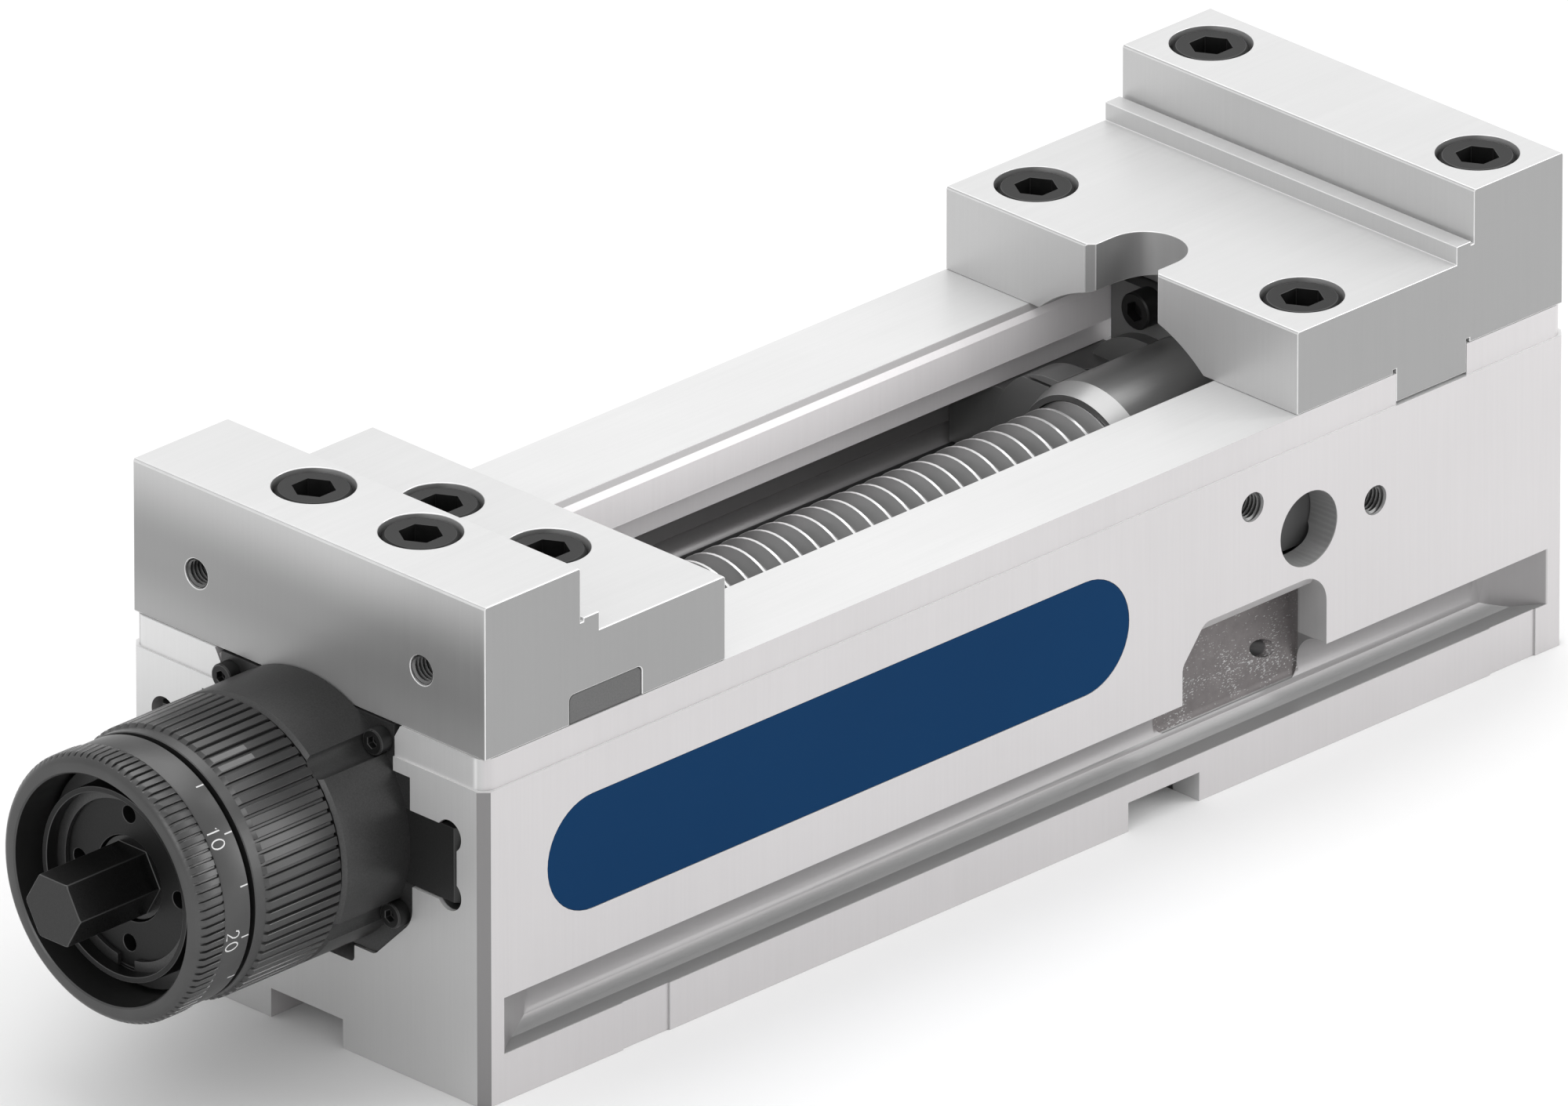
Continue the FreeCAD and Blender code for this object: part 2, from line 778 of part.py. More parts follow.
def build_body_block():
    """The block with a clamping groove, a chip recess and its drain along each side."""
    block = build_block()
    cuts = doc.addObject("Part::MultiFuse", "side_cuts")
    cuts.Shapes = [build_side_groove(), build_chip_recess(), build_drain()]
    other_cuts = doc.addObject("Part::Mirroring", "other_side_cuts")
    other_cuts.Source = cuts
    other_cuts.Base = FreeCAD.Vector(0, 0, 0)
    other_cuts.Normal = FreeCAD.Vector(0, 1, 0)
    both_sides = doc.addObject("Part::Compound", "both_sides_cuts")
    both_sides.Links = [cuts, other_cuts]
    body_block = doc.addObject("Part::Cut", "grooved_block")
    body_block.Base = block
    body_block.Tool = both_sides
    return node(body_block, "body_block")


def build_side_label():
    """The bare plate in the right side's shallow seat."""
    body = new_body("label_body")
    plate = new_sketch(body, "label_plate", "XZ", at=-side + S.label_depth)
    add_outline(plate, label_outline(S.screw_fit))
    pad(body, plate, S.label_depth)
    return node(body, "side_label")


def jaw_outline(front, outwards, lengths):
    """The stepped section of a jaw; front is its clamping face and outwards the way to its back."""
    low, ledge, whole = lengths
    relief = S.step_relief
    edge = S.jaw_edge
    base = seat_level
    back = front + outwards * whole
    step = front + outwards * (low + ledge)
    corners = [
        (front, base),
        (front, base + S.jaw_low_step - edge),
        (front + outwards * edge, base + S.jaw_low_step),
        (front + outwards * low, base + S.jaw_low_step),
        (front + outwards * low, base + S.jaw_ledge),
        (step - outwards * relief, base + S.jaw_ledge),
        (step - outwards * relief, base + S.jaw_ledge - relief),
        (step, base + S.jaw_ledge - relief),
        (step, base + S.jaw_height - edge),
        (step + outwards * edge, base + S.jaw_height),
        (back - outwards * edge, base + S.jaw_height),
        (back, base + S.jaw_height - edge),
        (back, base),
    ]
    return corners


def build_fixed_jaw():
    """The far jaw: a stepped block with a key below it, a notch for the screw and four bolt holes."""
    body = new_body("fixed_jaw_body")
    section = new_sketch(body, "fixed_jaw_section", "XZ")
    lengths = (S.fixed_low_length, S.fixed_ledge_length, S.fixed_length)
    corners = jaw_outline(fixed_face, 1, lengths)
    key_rear = fixed_key_front + S.fixed_key_width
    corners += [
        (key_rear + S.key_relief, seat_level),
        (key_rear + S.key_relief, seat_level + S.key_relief),
        (key_rear, seat_level + S.key_relief),
        (key_rear, seat_level - S.key_depth),
        (fixed_key_front, seat_level - S.key_depth),
        (fixed_key_front, seat_level + S.key_relief),
        (fixed_key_front - S.key_relief, seat_level + S.key_relief),
        (fixed_key_front - S.key_relief, seat_level),
    ]
    add_outline(section, corners)
    pad(body, section, S.jaw_width, both_ways=True)
    top = seat_level + S.jaw_height
    notch = new_sketch(body, "screw_notch", "XY", at=top)
    flared = S.notch_half + S.notch_flare
    inner = fixed_face + S.notch_length
    add_outline(notch, [
        (fixed_face - S.overcut, -flared),
        (fixed_face, -flared),
        (fixed_face + S.notch_flare, -S.notch_half),
        (inner, -S.notch_half, S.notch_half),
        (inner, S.notch_half, S.notch_half),
        (fixed_face + S.notch_flare, S.notch_half),
        (fixed_face, flared),
        (fixed_face - S.overcut, flared),
    ])
    pocket(body, notch)
    relief = new_sketch(body, "bore_relief", "YZ", at=fixed_face, lift=S.axis_height)
    add_circles(relief, [(0, 0)], S.bore_relief_radius)
    pocket(body, relief, S.bore_relief_length, backwards=True)
    cut_jaw_holes(body, "fixed", [
        (fixed_face + S.fixed_front_screw, S.jaw_low_step),
        (fixed_face + S.fixed_rear_screw, S.jaw_height),
    ], fixed_screw_half)
    lug_holes = new_sketch(body, "lug_screw_holes", "YZ", at=fixed_key_front)
    add_circles(lug_holes, [(sign * S.carrier_screw_half, body_height - S.carrier_screw_drop)
                            for sign in (-1, 1)], S.small_bolt_radius + S.screw_fit)
    pocket(body, lug_holes, S.small_engagement + S.overcut, backwards=True)
    return node(body, "fixed_jaw")


def cut_jaw_holes(body, name, rows, half):
    """Counterbored bolt holes in pairs, each row (along, height of the face it starts from)."""
    for number, (along, height) in enumerate(rows):
        centres = [(along, sign * half) for sign in (-1, 1)]
        head = S.jaw_head_height + S.jaw_head_sink
        counterbore = new_sketch(body, f"{name}_counterbores_{number}", "XY", at=seat_level + height)
        add_circles(counterbore, centres, S.jaw_head_radius + S.counterbore_gap)
        pocket(body, counterbore, head)
        hole = new_sketch(body, f"{name}_bolt_holes_{number}", "XY", at=seat_level + height)
        add_circles(hole, centres, S.jaw_bolt_radius + S.counterbore_gap)
        pocket(body, hole)


def build_movable_jaw():
    """The near jaw: a stepped block with a cross slot below it, four bolt holes and two threads in front."""
    body = new_body("movable_jaw_body")
    section = new_sketch(body, "movable_jaw_section", "XZ")
    lengths = (S.movable_low_length, S.movable_ledge_length, S.movable_length)
    corners = jaw_outline(movable_face, -1, lengths)
    slot_rear = movable_key_front + S.movable_key_width
    roof = seat_level + S.key_depth
    corners += [
        (movable_key_front, seat_level),
        (movable_key_front, roof, S.key_corner),
        (slot_rear, roof, S.key_corner),
        (slot_rear, seat_level),
    ]
    add_outline(section, corners)
    pad(body, section, S.jaw_width, both_ways=True)
    cut_jaw_holes(body, "movable", [
        (movable_front + S.movable_front_screw, S.jaw_height),
        (movable_front + S.movable_rear_screw, S.jaw_low_step),
    ], S.movable_screw_half)
    threads = new_sketch(body, "face_threads", "YZ", at=movable_front)
    add_circles(threads, [(sign * face_thread_half, seat_level + S.face_thread_level) for sign in (-1, 1)],
                S.face_thread_radius)
    pocket(body, threads, S.face_thread_depth, backwards=True)
    return node(body, "movable_jaw")


def build_jaw_key():
    """The steel bar in the movable jaw's cross slot, with a boss that drops into the slide."""
    body = new_body("jaw_key_body")
    bar = new_sketch(body, "key_bar", "XZ")
    fit = S.screw_fit
    start, end = movable_key_front + fit, movable_key_front + S.movable_key_width - fit
    roof = seat_level + S.key_depth - fit
    add_outline(bar, [
        (start, seat_level),
        (end, seat_level),
        (end, roof, S.key_corner + fit),
        (start, roof, S.key_corner + fit),
    ])
    pad(body, bar, S.jaw_width - 2 * S.key_bar_inset, both_ways=True)
    boss = new_sketch(body, "key_boss", "YZ", at=start)
    half = S.rail_half - S.slide_gap - fit
    add_outline(boss, box_outline(-half, half, seat_level - S.key_boss_depth + fit,
                                  seat_level + S.overcut))
    pad(body, boss, S.movable_key_width - 2 * fit)
    return node(body, "jaw_key")


def build_slide_block():
    """The slide: fills the channel's section, bored for the screw and the nut's nose."""
    body = new_body("slide_body")
    section = new_sketch(body, "slide_section", "YZ", at=block_front)
    add_outline(section, slide_section(seat_level, S.wing_root))
    pad(body, section, slide_rear - block_front)
    bore = new_sketch(body, "screw_bore", "YZ", at=slide_rear, lift=S.axis_height)
    add_circles(bore, [(0, 0)], S.thread_radius + S.screw_bore_gap)
    pocket(body, bore)
    entry = new_sketch(body, "nut_entry", "YZ", at=slide_rear, lift=S.axis_height)
    add_circles(entry, [(0, 0)], S.nut_radius + S.nut_entry_gap)
    pocket(body, entry, S.nut_entry_depth)
    seat = new_sketch(body, "key_seat", "XZ")
    add_outline(seat, box_outline(movable_key_front, movable_key_front + S.movable_key_width,
                                  seat_level - S.key_boss_depth, seat_level + S.overcut))
    pocket(body, seat, both_ways=True)
    jaw_threads = new_sketch(body, "jaw_threads", "XY", at=seat_level)
    add_circles(jaw_threads, [(movable_front + along, sign * S.movable_screw_half)
                              for along in (S.movable_front_screw, S.movable_rear_screw)
                              for sign in (-1, 1)], S.jaw_bolt_radius + S.screw_fit)
    pocket(body, jaw_threads, S.jaw_bolt_engagement + S.screw_fit)
    flange_threads = new_sketch(body, "flange_threads", "YZ", at=block_front, lift=S.axis_height)
    add_circles(flange_threads, flange_screw_places(), S.flange_bolt_radius + S.screw_fit)
    pocket(body, flange_threads, S.small_engagement, backwards=True)
    pins = new_sketch(body, "wing_pin_holes", "XY", at=undercut_top)
    add_circles(pins, wing_pin_places(), S.wing_pin_radius + S.screw_fit / 2)
    pocket(body, pins, undercut_top - floor_level)
    return node(body, "slide_block")


def flange_screw_places():
    """Where the four flange screws sit round the screw's axis, across and up from it."""
    places = []
    for angle in (S.upper_screw_angle, S.lower_screw_angle):
        across = S.flange_screw_circle * cosine(angle)
        up = S.flange_screw_circle * sine(angle)
        places += [(across, up), (-across, up)]
    return places


def wing_pin_places():
    """Where the pins through the slide and its wings stand."""
    half = (S.wing_root + S.undercut_half) / 2
    return [(along, sign * half)
            for along in (block_front + S.wing_pin_place, slide_rear - S.wing_pin_place)
            for sign in (-1, 1)]


def build_guide_wing(name, outwards):
    """One plate that reaches out of the slide into a guide slot."""
    body = new_body(f"{name}_body")
    gap = S.guide_gap
    fit = S.screw_fit
    plan = new_sketch(body, f"{name}_plan", "XY", at=guide_bottom + gap + fit / 2)
    edge = S.wing_edge
    tip = guide_half - gap
    corners = [
        (slide_front, S.wing_root + fit),
        (slide_front, tip - edge),
        (slide_front + edge, tip),
        (slide_rear - edge, tip),
        (slide_rear, tip - edge),
        (slide_rear, S.wing_root + fit),
    ]
    add_outline(plan, [(along, outwards * across) for along, across in corners])
    pad(body, plan, guide_top - guide_bottom - 2 * gap - fit)
    pins = new_sketch(body, f"{name}_pin_holes", "XY", at=guide_top)
    add_circles(pins, [place for place in wing_pin_places() if place[1].value * outwards > 0],
                S.wing_pin_radius + fit / 2)
    pocket(body, pins)
    return node(body, name)


def build_wing_pins():
    """Four dowels that stand through the slide and its wings."""
    pins = []
    foot = guide_bottom - S.wing_pin_foot
    top = undercut_top - S.slide_gap - S.wing_pin_sink
    for number, (along, across) in enumerate(wing_pin_places()):
        pins.append(cylinder(f"wing_pin_{number}", S.wing_pin_radius, top - foot, along, across, foot))
    return group("wing_pins", pins)


def cylinder(name, radius, height, along, across, up):
    """An upright round bar."""
    bar = doc.addObject("Part::Cylinder", name)
    bind(bar, "Radius", radius)
    bind(bar, "Height", height)
    place(bar, along, across, up)
    return bar


def place(thing, along, across, up, turn=None):
    """Sets where an object stands, and how it is turned."""
    if turn is not None:
        thing.Placement = FreeCAD.Placement(FreeCAD.Vector(), turn)
    bind(thing, "Placement.Base.x", along)
    bind(thing, "Placement.Base.y", across)
    bind(thing, "Placement.Base.z", up)


def group(label, things):
    """Several separate solids that share one node."""
    compound = doc.addObject("Part::Compound", f"{label}_group")
    compound.Links = things
    return node(compound, label)


def socket_screw(name, head, shank, flats):
    """A socket-head screw along Z, its head's top at zero; head and shank are (radius, length)."""
    body = new_body(name)
    profile = new_sketch(body, f"{name}_profile", "XZ")
    edge = head[0] * S.screw_edge_share
    add_outline(profile, [
        (0, 0),
        (0, -head[1] - shank[1]),
        (shank[0], -head[1] - shank[1]),
        (shank[0], -head[1]),
        (head[0], -head[1]),
        (head[0], -edge),
        (head[0] - edge, 0),
    ])
    feature = body.newObject("PartDesign::Revolution", f"{name}_turned")
    feature.Profile = profile
    feature.ReferenceAxis = (profile, ["V_Axis"])
    feature.Angle = 360
    socket = new_sketch(body, f"{name}_socket", "XY")
    add_outline(socket, hexagon(flats))
    pocket(body, socket, head[1] * S.socket_share)
    return body


def build_jaw_screws(label, rows, half):
    """The screws of one jaw, each row (along, height of the jaw's face there)."""
    screws = []
    for number, (along, height) in enumerate(rows):
        for sign in (-1, 1):
            length = height - S.jaw_head_sink - S.jaw_head_height + S.jaw_bolt_engagement - S.way_gap
            screw = socket_screw(f"{label}_{number}_{'left' if sign > 0 else 'right'}",
                                 (S.jaw_head_radius, S.jaw_head_height),
                                 (S.jaw_bolt_radius, length), S.jaw_hex)
            place(screw, along, sign * half, seat_level + height - S.jaw_head_sink)
            screws.append(screw)
    return group(label, screws)


def build_side_screws(label, places, head, shank, flats, face):
    """Screws along X whose heads' tops stand at one place; places are (across, up)."""
    screws = []
    for number, (across, up) in enumerate(places):
        screw = socket_screw(f"{label}_{number}", head, shank, flats)
        place(screw, face, across, up, FreeCAD.Rotation(FreeCAD.Vector(0, 1, 0), -90))
        screws.append(screw)
    return group(label, screws)


def build_nut_carrier():
    """The saddle that holds the nut, keyed into the guide slots and bolted to the fixed jaw's key."""
    body = new_body("carrier_body")
    section = new_sketch(body, "carrier_section", "YZ", at=carrier_start)
    half = S.undercut_half - S.slide_gap
    top = undercut_top - S.slide_gap
    bottom, chamfer = carrier_bottom, S.carrier_chamfer
    add_outline(section, [
        (-half, bottom + chamfer),
        (-half + chamfer, bottom),
        (half - chamfer, bottom),
        (half, bottom + chamfer),
        (half, top, S.carrier_shoulder),
        (-half, top, S.carrier_shoulder),
    ])
    pad(body, section, carrier_rear - carrier_start)
    wings = new_sketch(body, "carrier_wings", "YZ", at=carrier_start + S.carrier_wing_start)
    tip = guide_half - S.guide_gap
    add_outline(wings, box_outline(-tip, tip, guide_bottom + S.guide_gap, guide_top - S.guide_gap))
    pad(body, wings, S.carrier_wing_length)
    saddle = new_sketch(body, "carrier_saddle", "XY", at=undercut_top)
    saddle_floor = guide_top - S.guide_gap
    add_outline(saddle, box_outline(carrier_start + S.carrier_flange, carrier_rear - S.carrier_rear_flange,
                                    -half - S.overcut, half + S.overcut))
    pocket(body, saddle, undercut_top - saddle_floor)
    lug = new_sketch(body, "carrier_lug", "YZ", at=carrier_rear - S.carrier_lug)
    lug_half = S.rail_half - S.slide_gap
    add_outline(lug, box_outline(-lug_half, lug_half, S.axis_height, body_height - S.slide_gap))
    pad(body, lug, S.carrier_lug)
    bore = new_sketch(body, "nut_bore", "YZ", at=carrier_rear, lift=S.axis_height)
    add_circles(bore, [(0, 0)], S.nut_radius + S.screw_fit)
    pocket(body, bore)
    slit = new_sketch(body, "carrier_slit", "YZ", at=carrier_start)
    add_outline(slit, box_outline(-half - S.overcut, half + S.overcut, carrier_slit_level,
                                  carrier_slit_level + S.carrier_slit))
    pocket(body, slit, S.carrier_slit_depth, backwards=True)
    holes = new_sketch(body, "carrier_screw_holes", "YZ", at=carrier_rear)
    add_circles(holes, [(sign * S.carrier_screw_half, body_height - S.carrier_screw_drop)
                        for sign in (-1, 1)], S.small_bolt_radius + S.screw_fit)
    pocket(body, holes, S.carrier_lug + S.overcut)
    pin_holes = new_sketch(body, "nut_pin_holes", "XY", at=undercut_top)
    add_circles(pin_holes, nut_pin_places(), S.nut_pin_radius + S.screw_fit / 2)
    pocket(body, pin_holes)
    return node(body, "nut_carrier")


def nut_pin_places():
    """Where the pins stand that lock the nut by its flanks."""
    return [(carrier_start + S.nut_pin_place, sign * S.nut_pin_half) for sign in (-1, 1)]


def build_nut():
    """The round nut that the screw is drawn through, plain inside at the thread's outer size."""
    body = new_body("nut_body")
    inner = S.thread_radius + S.thread_gap
    turned(body, "nut_profile", [
        (nut_front, inner),
        (nut_front + S.nut_length, inner),
        (nut_front + S.nut_length, S.nut_radius),
        (nut_front + S.nut_nose_length, S.nut_radius),
        (nut_front, S.nut_radius - S.nut_nose),
    ])
    pins = new_sketch(body, "nut_pin_flats", "XY", at=S.axis_height + S.nut_radius)
    add_circles(pins, nut_pin_places(), S.nut_pin_radius + S.screw_fit / 2)
    pocket(body, pins)
    return node(body, "spindle_nut")


def build_nut_pins():
    """Two dowels through the carrier that bear in the nut's flanks."""
    foot = carrier_bottom + S.nut_pin_foot
    top = guide_top - S.guide_gap - S.nut_pin_sink
    pins = [cylinder(f"nut_pin_{number}", S.nut_pin_radius, top - foot, along, across, foot)
            for number, (along, across) in enumerate(nut_pin_places())]
    return group("nut_pins", pins)


# Places along the drive unit, from the slide's front towards the free end
housing_front = slide_front - S.housing_length
bearing_rear = slide_front - S.housing_wall
bearing_front = bearing_rear - S.bearing_length
sleeve_rear = housing_front
sleeve_front = sleeve_rear - S.sleeve_length
neck_front = sleeve_front - S.sleeve_neck_length
wall_front = bearing_front - S.sleeve_wall
journal_front = bearing_front - S.journal_length
ring_rear = sleeve_front - S.ring_gap
ring_front = ring_rear - S.ring_length
cup_front = sleeve_front - S.cup_front
cup_rear = cup_front + S.cup_length
disc_front = cup_front + S.disc_depth
disc_rear = disc_front + S.disc_thickness
snap_front = (neck_front + ring_rear) / 2 - S.snap_width / 2
collar_front = disc_rear + S.turning_gap
nose_front = collar_front + S.hex_collar_length
nose_rear = nose_front + S.hex_nose_length
hex_end = cup_front - S.hex_reach
spring_count = 4
seal_middle = (sleeve_rear + bearing_front) / 2 - S.turning_gap


def build_drive_housing():
    """The cup bolted to the slide's front, with a flange that fills the channel's section."""
    body = new_body("housing_body")
    flange = new_sketch(body, "flange_section", "YZ", at=slide_front)
    add_outline(flange, slide_section(body_height - S.slide_gap, S.wing_root))
    pad(body, flange, S.flange_thickness)
    edge = S.housing_edge
    turned(body, "housing_profile", [
        (housing_front + S.turning_gap, S.housing_bore),
        (slide_front, S.housing_bore),
        (slide_front, S.housing_radius),
        (housing_front + S.turning_gap + edge, S.housing_radius),
        (housing_front + S.turning_gap, S.housing_radius - edge),
    ])
    bore = new_sketch(body, "housing_screw_bore", "YZ", at=block_front, lift=S.axis_height)
    add_circles(bore, [(0, 0)], S.thread_radius + S.screw_bore_gap)
    pocket(body, bore, S.flange_thickness)
    heads = new_sketch(body, "head_scallops", "YZ", at=slide_front, lift=S.axis_height)
    add_circles(heads, flange_screw_places(), S.flange_head_radius + S.flange_head_gap)
    pocket(body, heads, S.housing_length)
    holes = new_sketch(body, "flange_screw_holes", "YZ", at=block_front, lift=S.axis_height)
    add_circles(holes, flange_screw_places(), S.flange_bolt_radius + S.screw_fit)
    pocket(body, holes, S.flange_thickness)
    return node(body, "drive_housing")


def build_rear_wall():
    """The ring in the housing that the thrust bearing stands against."""
    body = new_body("bearing_seat_body")
    turned(body, "bearing_seat_profile", [
        (bearing_rear, S.thread_radius + S.screw_bore_gap),
        (slide_front, S.thread_radius + S.screw_bore_gap),
        (slide_front, S.housing_bore - S.screw_fit),
        (bearing_rear, S.housing_bore - S.screw_fit),
    ])
    return node(body, "bearing_seat")


def build_thrust_bearing():
    """Two washers and a roller cage between them, as one turned piece."""
    body = new_body("bearing_body")
    inner = S.thread_radius + S.screw_bore_gap
    outer = S.housing_bore - S.screw_fit
    waist = S.bearing_cage_inset
    third = S.bearing_length / 3
    turned(body, "bearing_profile", [
        (bearing_front, inner),
        (bearing_rear, inner),
        (bearing_rear, outer),
        (bearing_rear - third, outer),
        (bearing_rear - third, outer - waist),
        (bearing_front + third, outer - waist),
        (bearing_front + third, outer),
        (bearing_front, outer),
    ])
    return node(body, "thrust_bearing")


def build_housing_seal():
    """The ring that wipes the sleeve's boss inside the housing's mouth."""
    seal = doc.addObject("Part::Torus", "seal_ring")
    bind(seal, "Radius1", S.housing_bore - S.seal_radius - S.screw_fit / 2)
    bind(seal, "Radius2", S.seal_radius)
    place(seal, seal_middle, 0, S.axis_height, FreeCAD.Rotation(FreeCAD.Vector(0, 1, 0), 90))
    return node(seal, "housing_seal")


def build_spindle():
    """The screw as a plain bar at its thread's outer size, with a thinner journal in the drive unit."""
    body = new_body("spindle_body")
    rear = nut_front + S.nut_length
    edge = S.spindle_edge
    turned(body, "spindle_profile", [
        (journal_front + S.plunger_seat, 0),
        (rear, 0),
        (rear, S.thread_radius - edge),
        (rear - edge, S.thread_radius),
        (bearing_front + edge, S.thread_radius),
        (bearing_front, S.thread_radius - edge),
        (bearing_front, S.journal_radius),
        (journal_front, S.journal_radius),
        (journal_front, S.plunger_radius + S.screw_fit),
        (journal_front + S.plunger_seat, S.plunger_radius + S.screw_fit),
    ])
    return node(body, "spindle")


def flute_prism(name, radius, depth, count, start, length):
    """A fluted bar along X: straight lands between straight grooves, evenly round it."""
    total = int(round(count.value))
    pitch = 2 * math.pi / total
    land, floor = S.flute_land.value / 2, S.flute_floor.value / 2
    crest, foot = radius.value, radius.value - depth.value
    points = []
    for tooth in range(total):
        middle = tooth * pitch
        for share, reach in ((-land, crest), (land, crest), (0.5 - floor, foot), (0.5 + floor, foot)):
            angle = middle + share * pitch
            points.append(FreeCAD.Vector(start.value, reach * math.cos(angle), reach * math.sin(angle)))
    outline = Part.makePolygon(points + points[:1])
    prism = doc.addObject("Part::Feature", name)
    prism.Shape = Part.Face(outline).extrude(FreeCAD.Vector(length.value, 0, 0))
    place(prism, 0, 0, S.axis_height)
    return prism


def cut_of(name, base, tool):
    """One object less another."""
    cut = doc.addObject("Part::Cut", name)
    cut.Base = base
    cut.Tool = tool
    return cut


def fuse_of(name, things):
    """Several objects made one."""
    fuse = doc.addObject("Part::MultiFuse", name)
    fuse.Shapes = things
    fuse.Refine = False
    return fuse


def build_sleeve():
    """The grooved sleeve that turns the screw: a boss in the housing, a fluted rim and a neck."""
    outside = new_body("sleeve_outside")
    boss = S.housing_bore - S.turning_gap
    seal_floor = S.housing_bore - 2 * S.seal_radius - S.turning_gap
    seal_half = S.seal_radius + S.turning_gap
    rim = S.sleeve_radius
    root_radius = rim - S.sleeve_flute_depth * 2
    lip = sleeve_rear - S.sleeve_knurl_length
    snap_floor = S.sleeve_neck_radius - S.snap_reach + S.turning_gap
    turned(outside, "sleeve_outline", [
        (neck_front, 0),
        (bearing_front - S.bearing_gap, 0),
        (bearing_front - S.bearing_gap, boss),
        (seal_middle + seal_half, boss),
        (seal_middle + seal_half, seal_floor),
        (seal_middle - seal_half, seal_floor),
        (seal_middle - seal_half, boss),
        (sleeve_rear, boss),
        (sleeve_rear, root_radius),
        (lip, root_radius),
        (lip, rim),
        (sleeve_front + S.sleeve_edge, rim),
        (sleeve_front, rim - S.sleeve_edge),
        (sleeve_front, S.sleeve_neck_radius),
        (snap_front + S.snap_width, S.sleeve_neck_radius),
        (snap_front + S.snap_width, snap_floor),
        (snap_front, snap_floor),
        (snap_front, S.sleeve_neck_radius),
        (neck_front, S.sleeve_neck_radius),
    ])
    flutes = flute_prism("sleeve_flutes", rim, S.sleeve_flute_depth, S.sleeve_flutes, lip,
                         S.sleeve_knurl_length)
    inside = new_body("sleeve_inside")
    cup_bore = S.cup_radius + S.screw_fit / 2
    journal_bore = S.journal_radius + S.journal_fit
    turned(inside, "sleeve_bores", [
        (neck_front - S.overcut, 0),
        (bearing_front, 0),
        (bearing_front, journal_bore),
        (wall_front, journal_bore),
        (wall_front, S.spring_chamber),
        (cup_rear, S.spring_chamber),
        (cup_rear, cup_bore),
        (neck_front - S.overcut, cup_bore),
    ])
    detent_hole = doc.addObject("Part::Cylinder", "detent_hole")
    bind(detent_hole, "Radius", S.detent_radius + S.screw_fit)
    bind(detent_hole, "Height", S.detent_length + S.overcut)
    place(detent_hole, sleeve_front - S.overcut, 0, S.axis_height - detent_reach, ALONG_SCREW)
    voids = doc.addObject("Part::Compound", "sleeve_voids")
    voids.Links = [inside, detent_hole]
    sleeve = cut_of("hollow_sleeve", fuse_of("solid_sleeve", [outside, flutes]), voids)
    return node(sleeve, "clamping_sleeve")


def build_detent_pin():
    """The sprung pin in the sleeve's shoulder that clicks into the ring's rear face."""
    pin = doc.addObject("Part::Cylinder", "detent_bar")
    bind(pin, "Radius", S.detent_radius)
    bind(pin, "Height", S.ring_gap - S.turning_gap + S.detent_length)
    place(pin, ring_rear + S.turning_gap, 0, S.axis_height - detent_reach, ALONG_SCREW)
    return node(pin, "detent_pin")


def build_pull_nut():
    """The nut on the screw's journal that the disc springs push against."""
    body = new_body("pull_nut_body")
    turned(body, "pull_nut_profile", [
        (journal_front, S.journal_radius + S.screw_fit),
        (journal_front + S.pull_nut_length, S.journal_radius + S.screw_fit),
        (journal_front + S.pull_nut_length, S.pull_nut_radius),
        (journal_front, S.pull_nut_radius),
    ])
    return node(body, "pull_nut")


def build_disc_springs():
    """Coned spring washers, stacked by turns, between the sleeve's wall and the pull nut."""
    start = journal_front + S.pull_nut_length
    space = (wall_front - start) / spring_count
    sheet_width = S.spring_sheet
    cone = space - sheet_width - S.bearing_gap
    inner, outer = S.journal_radius + S.spring_gap, S.spring_radius
    springs = []
    for number in range(spring_count):
        first = start + space * number + S.bearing_gap / 2
        near, far = (0, cone) if number % 2 == 0 else (cone, 0)
        body = new_body(f"disc_spring_{number}")
        turned(body, f"disc_spring_{number}_profile", [
            (first + near, inner),
            (first + near + sheet_width, inner),
            (first + far + sheet_width, outer),
            (first + far, outer),
        ])
        springs.append(body)
    return group("disc_springs", springs)


def build_plunger():
    """The pin that passes the power stroke from the hexagon shaft to the screw."""
    body = new_body("plunger_body")
    turned(body, "plunger_profile", [
        (nose_rear + S.bearing_gap, 0),
        (journal_front + S.plunger_seat - S.bearing_gap, 0),
        (journal_front + S.plunger_seat - S.bearing_gap, S.plunger_radius),
        (nose_rear + S.bearing_gap, S.plunger_radius),
    ])
    return node(body, "pressure_plunger")


def build_cup():
    """The thin sleeve inside the force ring that carries the cover disc."""
    body = new_body("cup_body")
    inner = S.cup_radius - S.cup_wall
    groove = inner + S.cup_wall / 2
    turned(body, "cup_profile", [
        (cup_front, inner),
        (disc_front - S.circlip_width, inner),
        (disc_front - S.circlip_width, groove),
        (disc_front, groove),
        (disc_front, inner),
        (cup_rear, inner),
        (cup_rear, S.cup_radius),
        (cup_front, S.cup_radius),
    ])
    return node(body, "inner_cup")


def build_cover_disc():
    """The disc round the hexagon, with four holes for a pin spanner."""
    body = new_body("disc_body")
    rim = S.cup_radius - S.cup_wall - S.screw_fit
    turned(body, "disc_profile", [
        (disc_front, S.disc_bore),
        (disc_rear, S.disc_bore),
        (disc_rear, rim),
        (disc_front, rim),
    ])
    holes = new_sketch(body, "pin_holes", "YZ", at=disc_front, lift=S.axis_height)
    circle = S.pin_hole_circle
    add_circles(holes, [(circle, 0), (-circle, 0), (0, circle), (0, -circle)], S.pin_hole_radius)
    pocket(body, holes, S.pin_hole_depth, backwards=True)
    return node(body, "cover_disc")


